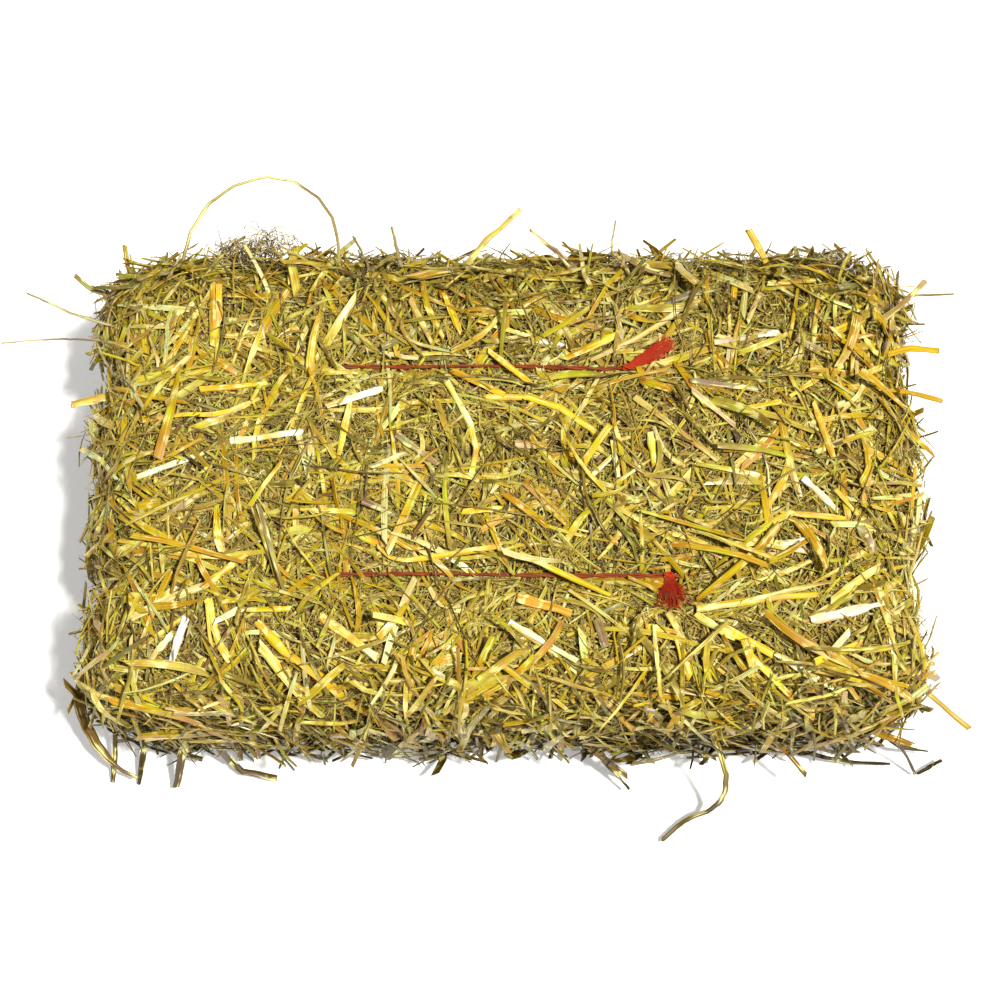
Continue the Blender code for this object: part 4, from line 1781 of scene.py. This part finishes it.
def shades(names: str) -> tuple[Shade, ...]:
    """The shades with these names."""
    return tuple(Shade[name] for name in names.split())

FINISHES = {
    "blade": StrawFinish(
        "flattened_straw",
        shades("OLIVE STRAW LEMON GOLD ORANGE GOLD LEMON CREAM WHITE"),
        roughness=0.38,
        coat=0.2,
        streak=0.4,
        stain=0.25,
        bleach=0.6,
    ),
    "stem": StrawFinish(
        "stem_straw",
        shades("BROWN OLIVE GREEN STRAW LEMON GOLD TAN LEMON CREAM"),
        roughness=0.45,
        coat=0.1,
        stain=0.35,
    ),
    "bit": StrawFinish(
        "chopped_straw",
        shades("UMBER TAN STRAW OLIVE CREAM STRAW TAN CREAM WHITE"),
        roughness=0.55,
        stain=0.35,
        spread=0.75,
    ),
    # A darker copy of the chopped straw's finish for the sides: painted shade.
    "shade": StrawFinish(
        "shaded_side_chaff",
        shades("UMBER BROWN TAN OLIVE STRAW TAN BROWN CREAM"),
        roughness=0.6,
        stain=0.4,
        spread=0.75,
        bleach=0.25,
    ),
    "fibre": StrawFinish(
        "fibre_straw",
        shades("UMBER BROWN TAN CREAM TAN STRAW BROWN CREAM WHITE"),
        roughness=0.6,
        streak=0.1,
        stain=0.2,
        spread=0.75,
    ),
    "wisp": StrawFinish(
        "wisp_straw",
        shades("UMBER BROWN OLIVE TAN BROWN"),
        roughness=0.55,
        stain=0.2,
    ),
    "stalk": StrawFinish(
        "stalk_straw",
        shades("BROWN OLIVE STRAW GOLD ORANGE LEMON CREAM WHITE"),
        roughness=0.42,
        coat=0.12,
        streak=0.5,
        stain=0.35,
        spread=0.15,
        drift=0.3,
        bleach=0.75,
    ),
}


def layers() -> list[StrawLayer]:
    """The scattered layers, from the deepest outwards."""
    top, sides, edges, foot = Cover.TOP, Cover.SIDES, Cover.EDGES, Cover.FOOT
    back, front, ends = Cover.BACK, Cover.FRONT, Cover.ENDS
    bit, fibre, stem, ribbon, blade, wisp = (
        StrawKind.BIT, StrawKind.FIBRE, StrawKind.STEM, StrawKind.RIBBON, StrawKind.BLADE, StrawKind.WISP
    )
    deep, low, middle = (-3.5 * MM, 0.5 * MM), (-3.0 * MM, 0.6 * MM), (-2.5 * MM, 1.5 * MM)
    upper, high, proud = (-1.0 * MM, 2.6 * MM), (-1.0 * MM, 3.6 * MM), (1.0 * MM, 9.0 * MM)
    usual, wide, long = (0.5, 1.6), (0.6, 1.3), (0.7, 1.6)
    near, far, free = 4 * MM, 6 * MM, 30 * MM
    return [
        StrawLayer("chopped_top", bit, top, 56000, "bit", usual, wide, 16, 40, 110, low, 0.8, near, 11),
        StrawLayer("chopped_sides", bit, sides, 29000, "shade", usual, wide, 20, 40, 90, low, 0.7, near, 12),
        StrawLayer("fibres_top", fibre, top, 42000, "fibre", usual, wide, 18, 180, 110, low, 0.6, near, 21),
        StrawLayer("fibres_sides", fibre, sides, 22000, "fibre", usual, wide, 34, 180, 90, middle, 0.4, far, 22),
        StrawLayer("stems_top", stem, top, 19000, "stem", usual, wide, 9, 70, 70, middle, 0.7, near, 31),
        StrawLayer("stems_sides", stem, sides, 12500, "stem", usual, wide, 18, 70, 60, middle, 0.5, far, 32),
        StrawLayer("ribbons_top", ribbon, top, 7500, "bit", usual, wide, 14, 60, 110, middle, 0.6, near, 35),
        StrawLayer("ribbons_sides", ribbon, sides, 3000, "shade", usual, wide, 18, 60, 90, upper, 0.5, far, 36),
        StrawLayer("blades_top", blade, top, 5000, "blade", (0.45, 1.5), wide, 6, 30, 90, upper, 0.7, near, 41),
        StrawLayer("blades_sides", blade, sides, 2600, "blade", usual, wide, 14, 35, 50, upper, 0.6, far, 42),
        StrawLayer("front_blades", blade, front, 3800, "blade", long, wide, 20, 40, 48, proud, 0.3, 10 * MM, 45),
        StrawLayer("front_stems", stem, front, 6500, "stem", long, wide, 32, 70, 60, proud, 0.15, 12 * MM, 44),
        StrawLayer("end_blades", blade, ends, 2600, "blade", long, wide, 12, 40, 55, high, 0.5, 7 * MM, 46),
        StrawLayer("back_stems", stem, back, 15000, "stem", long, wide, 35, 70, 100, proud, 0.2, 14 * MM, 47),
        StrawLayer("back_fibres", fibre, back, 26000, "fibre", (0.8, 1.9), wide, 50, 180, 180, proud, 0.1, 14 * MM, 48),
        StrawLayer("back_blades", blade, back, 3600, "blade", usual, wide, 28, 40, 90, proud, 0.2, 14 * MM, 49),
        StrawLayer("wisps", wisp, top, 2600, "wisp", usual, wide, 7, 180, 180, upper, 0.7, near, 51),
        StrawLayer(
            "stray_stems", stem, edges, 6500, "stem", (0.6, 1.6), (0.5, 1.1), 50, 70, 180, middle, 0.0, free, 61
        ),
        StrawLayer("stray_fibres", fibre, edges, 9000, "fibre", (0.8, 1.9), wide, 60, 180, 180, upper, 0.0, free, 62),
        StrawLayer("foot_straw", stem, foot, 5000, "stem", usual, wide, 5, 40, 180, deep, 0.9, 1 * MM, 71),
    ]


def stalks() -> list[Stalk]:
    """The loose stalks, each at the place of its solid."""
    gold, straw, cream = ("golden_straw", 0.43), ("straw", 0.30), ("cream_straw", 0.86)
    olive, brown, lemon = ("olive_straw", 0.14), ("brown_straw", 0.04), ("golden_straw", 0.70)
    flat, split, leaf, wiry = Look.FLAT, Look.SPLIT, Look.LEAF, Look.WIRY
    return [
        Stalk("angled_stalk", ((-37, 56), (-17, 18), (-22, -8)), 5, split, *lemon),
        Stalk("kinked_stalk", ((-13, 45), (24, 45), (60, 19)), 5, split, *gold),
        Stalk("olive_stalk", ((-67, 20), (-43, 1)), 5.5, flat, *olive),
        Stalk("long_stalk", ((80, 45), (104, 26), (131, 3)), 4.5, flat, *straw),
        Stalk("brown_stalk", ((115, 55), (157, 49)), 4.5, flat, *brown),
        Stalk("upright_stalk", ((89, 22), (92, 0)), 5.5, split, *lemon),
        Stalk("right_stalk", ((190, 8), (228, 26)), 4.5, flat, *straw),
        Stalk("white_stalk", ((183, -8), (203, -29)), 5, split, *cream),
        Stalk("level_stalk", ((115, -91), (150, -85), (188, -82)), 5.5, split, *gold),
        Stalk("pale_leaf", ((184, -98), (226, -88)), 8.5, leaf, *cream),
        Stalk("shoulder_stalk", ((132, -103), (160, -119)), 6, flat, *gold),
        Stalk("slanted_stalk", ((2, -100), (43, -124)), 4.5, flat, *cream),
        Stalk("orange_stalk", ((6, -84), (38, -94)), 7, flat, "golden_straw", 0.54),
        Stalk("crossing_stalk", ((8, -56), (64, -83)), 4.5, split, *gold),
        Stalk("green_stalk", ((55, -98), (60, -116)), 6.5, flat, *olive),
        Stalk("gold_ribbon", ((-150, -100), (-128, -124)), 8.5, leaf, *gold),
        Stalk("front_stalk", ((-112, -96), (-78, -122)), 7, split, *lemon),
        Stalk("bent_corner_stalk", ((-181, -84), (-175, -108), (-166, -124)), 5.5, flat, *lemon),
        Stalk("corner_stalk", ((-194, -96), (-202, -122)), 6, split, *cream),
        Stalk("back_left_stalk", ((-190, 50), (-149, 54)), 5, split, *gold),
        Stalk("left_stalk", ((-190, 26), (-160, 40)), 4.5, flat, *straw),
        Stalk("cream_stalk", ((-170, 16), (-126, 22)), 5, split, *cream),
        Stalk("back_stalk", ((-181, 121), (-180, 100), (-183, 84)), 5, flat, *gold),
        Stalk("low_left_stalk", ((-228, -6), (-187, 8)), 4.5, split, *cream),
        Stalk(
            "arching_stalk",
            (
                (-203, 110, 138),
                (-206, 148, 156),
                (-182, 184, 164),
                (-142, 194, 168),
                (-112, 172, 164),
                (-105, 140, 156),
                (-110, 110, 138),
            ),
            2.7,
            flat,
            "straw",
            0.17,
        ),
        Stalk("left_long_stalk", ((-222, 84, 134), (-268, 90, 148), (-318, 86, 146)), 2.0, wiry, *brown),
        Stalk("left_fork_stalk", ((-222, 98, 128), (-268, 104, 142), (-304, 120, 146)), 2.8, wiry, *olive),
        Stalk("left_stub", ((-224, 62, 122), (-250, 56, 132), (-274, 48, 136)), 7.2, flat, *straw),
        Stalk("left_green_stalk", ((-226, 122, 122), (-262, 124, 136), (-274, 132, 146)), 4, flat, *olive),
        Stalk("corner_leaf", ((-228, 118, 100), (-244, 146, 118), (-246, 160, 130)), 4.6, split, *straw),
        Stalk("back_broad_stalk", ((-36, 120, 140), (-19, 146, 154), (10, 172, 160)), 5, flat, *straw),
        Stalk("back_leaf", ((60, 116, 136), (41, 140, 152), (16, 158, 158)), 6, leaf, *brown),
        Stalk("back_dark_stalk", ((78, 118, 136), (66, 146, 152), (70, 164, 160)), 2.6, wiry, *brown),
        Stalk("back_nib", ((-60, 116, 136), (-68, 142, 150), (-72, 160, 158)), 3.2, flat, *olive),
        Stalk("back_right_nib", ((178, 114, 136), (166, 140, 150), (154, 158, 160)), 6, split, *gold),
        Stalk("right_raised_stalk", ((216, 92, 130), (242, 102, 150), (264, 122, 160)), 4.6, flat, *straw),
        Stalk("right_long_stalk", ((218, 116, 118), (254, 124, 132), (286, 122, 140)), 2.8, wiry, *olive),
        Stalk("right_gold_stalk", ((216, 74, 126), (250, 84, 144), (272, 80, 148)), 5.2, flat, *gold),
        Stalk("right_orange_stalk", ((214, 54, 128), (244, 56, 146), (272, 46, 150)), 4.6, split, "golden_straw", 0.54),
        Stalk("right_leaf", ((222, 30, 124), (252, 16, 136), (262, -12, 130)), 5.6, split, *cream),
        Stalk("front_right_stalk", ((220, -90, 100), (252, -116, 92), (290, -148, 84)), 4.6, split, *gold),
        Stalk(
            "trailing_stalk",
            (
                (118, -124, 88),
                (132, -154, 80),
                (142, -176, 50),
                (136, -186, 20),
                (116, -192, 8),
                (102, -204, 6),
            ),
            4.6,
            flat,
            *straw,
        ),
        Stalk(
            "corner_ribbon",
            (
                (-226, -86, 62),
                (-262, -96, 60),
                (-276, -118, 48),
                (-268, -142, 34),
                (-252, -160, 22),
                (-238, -166, 16),
            ),
            9.5,
            leaf,
            *gold,
        ),
        Stalk("foot_stalk", ((-192, -112, 74), (-206, -150, 44), (-214, -170, 10)), 6.2, flat, *straw),
        Stalk("floor_stalk", ((-196, -120, 16), (-180, -158, 12), (-150, -164, 8)), 5.2, flat, *straw),
        Stalk("front_leaf", ((44, -126, 34), (62, -154, 26), (80, -172, 14)), 6, leaf, *brown),
        Stalk("right_foot_leaf", ((224, -118, 30), (252, -146, 24), (276, -148, 16)), 4.6, leaf, *olive),
    ]


LAID = tuple(LaidStalk(*row) for row in (
    (((213, 285), (213, 348)), 5.0, 0.62),
    (((140, 423), (184, 415), (218, 417), (260, 400)), 4.2, 0.45),
    (((444, 295), (461, 335)), 5.0, 0.44),
    (((326, 408), (383, 390)), 5.6, 0.80),
    (((339, 457), (350, 404)), 5.0, 0.66),
    (((370, 469), (406, 454)), 4.2, 0.20),
    (((563, 361), (620, 335)), 6.5, 0.64),
    (((590, 362), (649, 334), (696, 298)), 4.2, 0.34),
    (((612, 442), (618, 479)), 4.0, 0.78),
    (((691, 391), (735, 427)), 5.0, 0.26),
    (((789, 398), (823, 376)), 4.2, 0.62),
    (((745, 410), (781, 403)), 4.6, 0.44),
    (((813, 403), (833, 459)), 4.8, 0.62),
    (((735, 410), (767, 457), (769, 498), (776, 547)), 1.6, 0.02),
    (((779, 513), (845, 520)), 4.6, 0.42),
    (((779, 545), (818, 540)), 5.4, 0.80),
    (((833, 334), (864, 320)), 6.4, 0.60),
    (((757, 337), (779, 334)), 4.6, 0.84),
    (((767, 285), (815, 282)), 4.6, 0.60),
    (((732, 271), (733, 302)), 5.2, 0.44),
    (((762, 288), (747, 324)), 3.8, 0.30),
    (((202, 589), (246, 556)), 5.2, 0.62),
    (((117, 554), (146, 538)), 5.2, 0.30),
    (((119, 500), (142, 522)), 4.6, 0.62),
    (((377, 547), (395, 563), (435, 558), (502, 547)), 4.2, 0.46),
    (((462, 513), (502, 510)), 4.8, 0.44),
    (((645, 627), (680, 634)), 5.2, 0.60),
    (((656, 688), (719, 697)), 5.8, 0.30),
    (((511, 625), (595, 685), (667, 725)), 4.2, 0.34),
    (((723, 714), (777, 740), (806, 775, 40)), 4.8, 0.44),
    (((830, 602), (876, 569)), 6.2, 0.78),
    (((741, 603), (788, 592), (830, 583)), 3.6, 0.28),
    (((291, 657), (340, 690), (400, 737, 62)), 7.2, 0.50),
    (((259, 646), (300, 690), (325, 715)), 8.2, 0.62),
    (((207, 604), (211, 646), (222, 688), (232, 708), (272, 724), (308, 732)), 3.4, 0.64),
    (((203, 659), (192, 680), (184, 730)), 5.4, 0.74),
    (((173, 634), (146, 667)), 4.6, 0.76),
    (((141, 657), (140, 715)), 4.8, 0.22),
    (((138, 715), (171, 743, 40)), 4.2, 0.44),
    (((215, 623), (241, 610)), 5.4, 0.92),
    (((247, 611), (291, 610)), 4.8, 0.44),
    (((113, 700, 50), (116, 740, 24), (113, 782, 4)), 4.4, 0.30),
    (((146, 720, 40), (144, 750, 20), (139, 784, 4)), 4.6, 0.18),
    (((236, 730, 40), (241, 760, 8)), 4.6, 0.24),
    (((252, 738, 30), (256, 757, 8)), 4.4, 0.04),
    (((343, 686), (362, 719), (370, 755, 30)), 2.4, 0.62),
    (((452, 372), (505, 397)), 5.6, 0.50),
    (((488, 352), (530, 384)), 4.6, 0.44),
    (((410, 300), (432, 345)), 4.6, 0.32),
    (((476, 322), (530, 338)), 3.8, 0.78),
    (((588, 747, 46), (627, 776, 12)), 5.2, 0.44),
    (((790, 748, 24), (842, 762, 9), (890, 764, 6)), 3.6, 0.06),
    (((884, 728, 60), (905, 752, 30), (915, 774, 6)), 2.6, 0.08),
    (((917, 774, 5), (942, 760, 10)), 3.4, 0.04),
    (((888, 690), (891, 728)), 4.4, 0.80),
    (((867, 730, 72), (913, 745, 48)), 5.6, 0.48),
    (((880, 668), (905, 655), (934, 664, 104)), 4.8, 0.28),
    (((742, 650), (770, 675), (800, 705)), 6.6, 0.60),
    (((775, 655), (836, 690)), 5.4, 0.84),
    (((695, 615), (735, 640)), 5.2, 0.78),
    (((750, 700), (800, 730)), 5.4, 0.46),
    (((799, 730), (816, 698)), 4.6, 0.44),
    (((676, 636), (682, 655), (690, 678)), 7.0, 0.46),
    (((510, 702), (575, 718)), 4.0, 0.84),
    (((484, 699), (530, 691)), 4.8, 0.45),
    (((506, 734, 62), (496, 762, 20)), 3.0, 0.34),
    (((395, 703), (437, 731)), 5.4, 0.16),
    (((446, 732, 72), (470, 748, 46), (488, 764, 24)), 2.2, 0.70),
    (((576, 714), (597, 713)), 6.0, 0.68),
    (((618, 712), (611, 740)), 4.0, 0.42),
    (((857, 522), (866, 538), (873, 553)), 8.0, 0.12),
))
TWINES = (
    Twine("twine_front", 99 * MM, (0.10, -1.0), 23 * MM, 25 * MM, (-108 * MM, 104 * MM), 5),
    Twine("twine_back", 75 * MM, (1.0, 0.45), 30 * MM, 13 * MM, (-100 * MM, 80 * MM), 6),
)


@dataclass(frozen=True)
class Studio:
    """The floor, the light and the camera.

    Attributes:
        elevation: How far above the horizon the camera looks from, in degrees.
        distance: From the camera to the point that it looks at.
        lens: The focal length in millimetres.
        aim: The point that it looks at.
        sun_turn: How far the main light leans to come from the front and from the right, in degrees.
    """

    elevation: float = 72.0
    distance: float = 1.62
    lens: float = 93.3
    aim: tuple[float, float, float] = (-0.0086, 0.0, 0.1068)
    sun_turn: tuple[float, float] = (9.0, 19.0)

    FRAME = 984
    SENSOR = 36.0
    SUN_POWER = 4.6
    SUN_WIDTH = 5.0
    SUN_COLOUR = (1.0, 0.985, 0.95)
    SURROUND_POWER = 0.33
    FLOOR_GLOW = 0.3

    def sight(self, x: float, y: float) -> tuple[np.ndarray, np.ndarray]:
        """Where the camera is, and which way it looks through a point of its frame.

        Args:
            x: How far the point is from the frame's left edge, for a frame that is 984 wide.
            y: How far it is below the top edge.

        Returns:
            The camera's place and the direction.
        """
        rise = math.radians(self.elevation)
        back = np.array((0.0, -math.cos(rise), math.sin(rise)))
        upward = np.array((0.0, math.sin(rise), math.cos(rise)))
        reach = self.FRAME * self.lens / self.SENSOR
        half = self.FRAME / 2
        way = -back + np.array(((x - half) / reach, 0.0, 0.0)) + upward * (half - y) / reach
        return np.array(self.aim) + back * self.distance, unit(way)

    def build(self) -> None:
        """Makes the camera, the lights and the floor."""
        self._camera()
        self._lights()
        self._floor()

    def _camera(self) -> None:
        """Makes the camera at the photograph's angle."""
        data = bpy.data.cameras.new("camera")
        data.lens = self.lens
        data.sensor_width = self.SENSOR
        camera = bpy.data.objects.new("camera", data)
        rise = math.radians(self.elevation)
        back = Vector((0.0, -math.cos(rise), math.sin(rise)))
        camera.location = Vector(self.aim) + back * self.distance
        camera.rotation_euler = (math.pi / 2 - rise, 0.0, 0.0)
        bpy.context.scene.collection.objects.link(camera)
        bpy.context.scene.camera = camera

    def _lights(self) -> None:
        """Makes the main light and an even white surround."""
        sun = bpy.data.lights.new("main_light", "SUN")
        sun.energy = self.SUN_POWER
        sun.angle = math.radians(self.SUN_WIDTH)
        sun.color = self.SUN_COLOUR
        lamp = bpy.data.objects.new("main_light", sun)
        lamp.rotation_euler = (math.radians(self.sun_turn[0]), math.radians(self.sun_turn[1]), 0.0)
        bpy.context.scene.collection.objects.link(lamp)
        world = bpy.data.worlds.new("studio")
        world.use_nodes = True
        surround = world.node_tree.nodes["Background"]
        surround.inputs["Color"].default_value = (1.0, 1.0, 1.0, 1.0)
        surround.inputs["Strength"].default_value = self.SURROUND_POWER
        bpy.context.scene.world = world
        bpy.context.scene.view_settings.view_transform = "Standard"

    def _floor(self) -> None:
        """Makes the plain pale floor."""
        form = bmesh.new()
        bmesh.ops.create_grid(form, x_segments=2, y_segments=2, size=4.0)
        mesh = bpy.data.meshes.new("floor")
        form.to_mesh(mesh)
        form.free()
        material, board, shader = new_material("pale_floor")
        cloud = board.noise(board.point(), 3.0, 2.0)
        board.fill(shader, {
            "Base Color": board.mix(cloud * 0.06, Shade.FLOOR.linear(), (0.8, 0.8, 0.8, 1.0)),
            "Roughness": 0.9,
            "Emission Color": (1.0, 1.0, 1.0, 1.0),
            "Emission Strength": self.FLOOR_GLOW,
        })
        mesh.materials.append(material)
        floor = bpy.data.objects.new("floor", mesh)
        bpy.context.scene.collection.objects.link(floor)


def lay_stalks(paths: list[np.ndarray], material: bpy.types.Material) -> None:
    """Makes the piece with the laid stalks.

    Args:
        paths: The centre line of each.
        material: Their material.
    """
    rng = np.random.default_rng(83)
    rings = np.array([stalk.rings(path, rng) for stalk, path in zip(LAID, paths)])
    straws = Straws(rings, np.array([stalk.tone for stalk in LAID]), rng.random(len(LAID)))
    straws.piece("laid_stalks", "golden_straw", material)


def tie_tufts(studio: Studio, material: bpy.types.Material) -> None:
    """Makes the piece with the root tufts.

    Args:
        studio: Where the camera is.
        material: Their material.
    """
    rng = np.random.default_rng(97)
    tubes = np.array([tube for tuft in TUFTS for tube in tuft.tubes(studio, rng)])
    straws = Straws(tubes, rng.random(len(tubes)), rng.random(len(tubes)))
    straws.piece("root_tufts", "brown_straw", material)


def main() -> None:
    """Builds the bale's dressing, piece by piece."""
    logging.basicConfig(level=logging.INFO, format="%(name)s %(message)s")
    studio = Studio()
    studio.build()
    materials = {key: finish.material() for key, finish in FINISHES.items()}
    bed = PressedBed()
    bed.build(BedFinish("matted_straw").material())
    loose = stalks()
    paths = [stalk.path(bed, studio) for stalk in LAID]
    guards = [stalk.guard() for stalk in loose if stalk.lies()]
    guards += [stalk.guard(path) for stalk, path in zip(LAID, paths)]
    guards += [guard for twine in TWINES for guard in twine.guards(bed)]
    tree = ScatterTree()
    for layer in layers():
        layer.build(tree, bed, guards, materials[layer.finish])
    GrownStraws(bed).build(materials["stem"])
    lay_stalks(paths, materials["stalk"])
    tie_tufts(studio, materials["fibre"])
    red = TwineFinish("red_twine_fibre").material()
    for twine in TWINES:
        twine.build(red, bed)
    for stalk in loose:
        stalk.build(materials["stalk"])


if __name__ == "__main__":
    main()
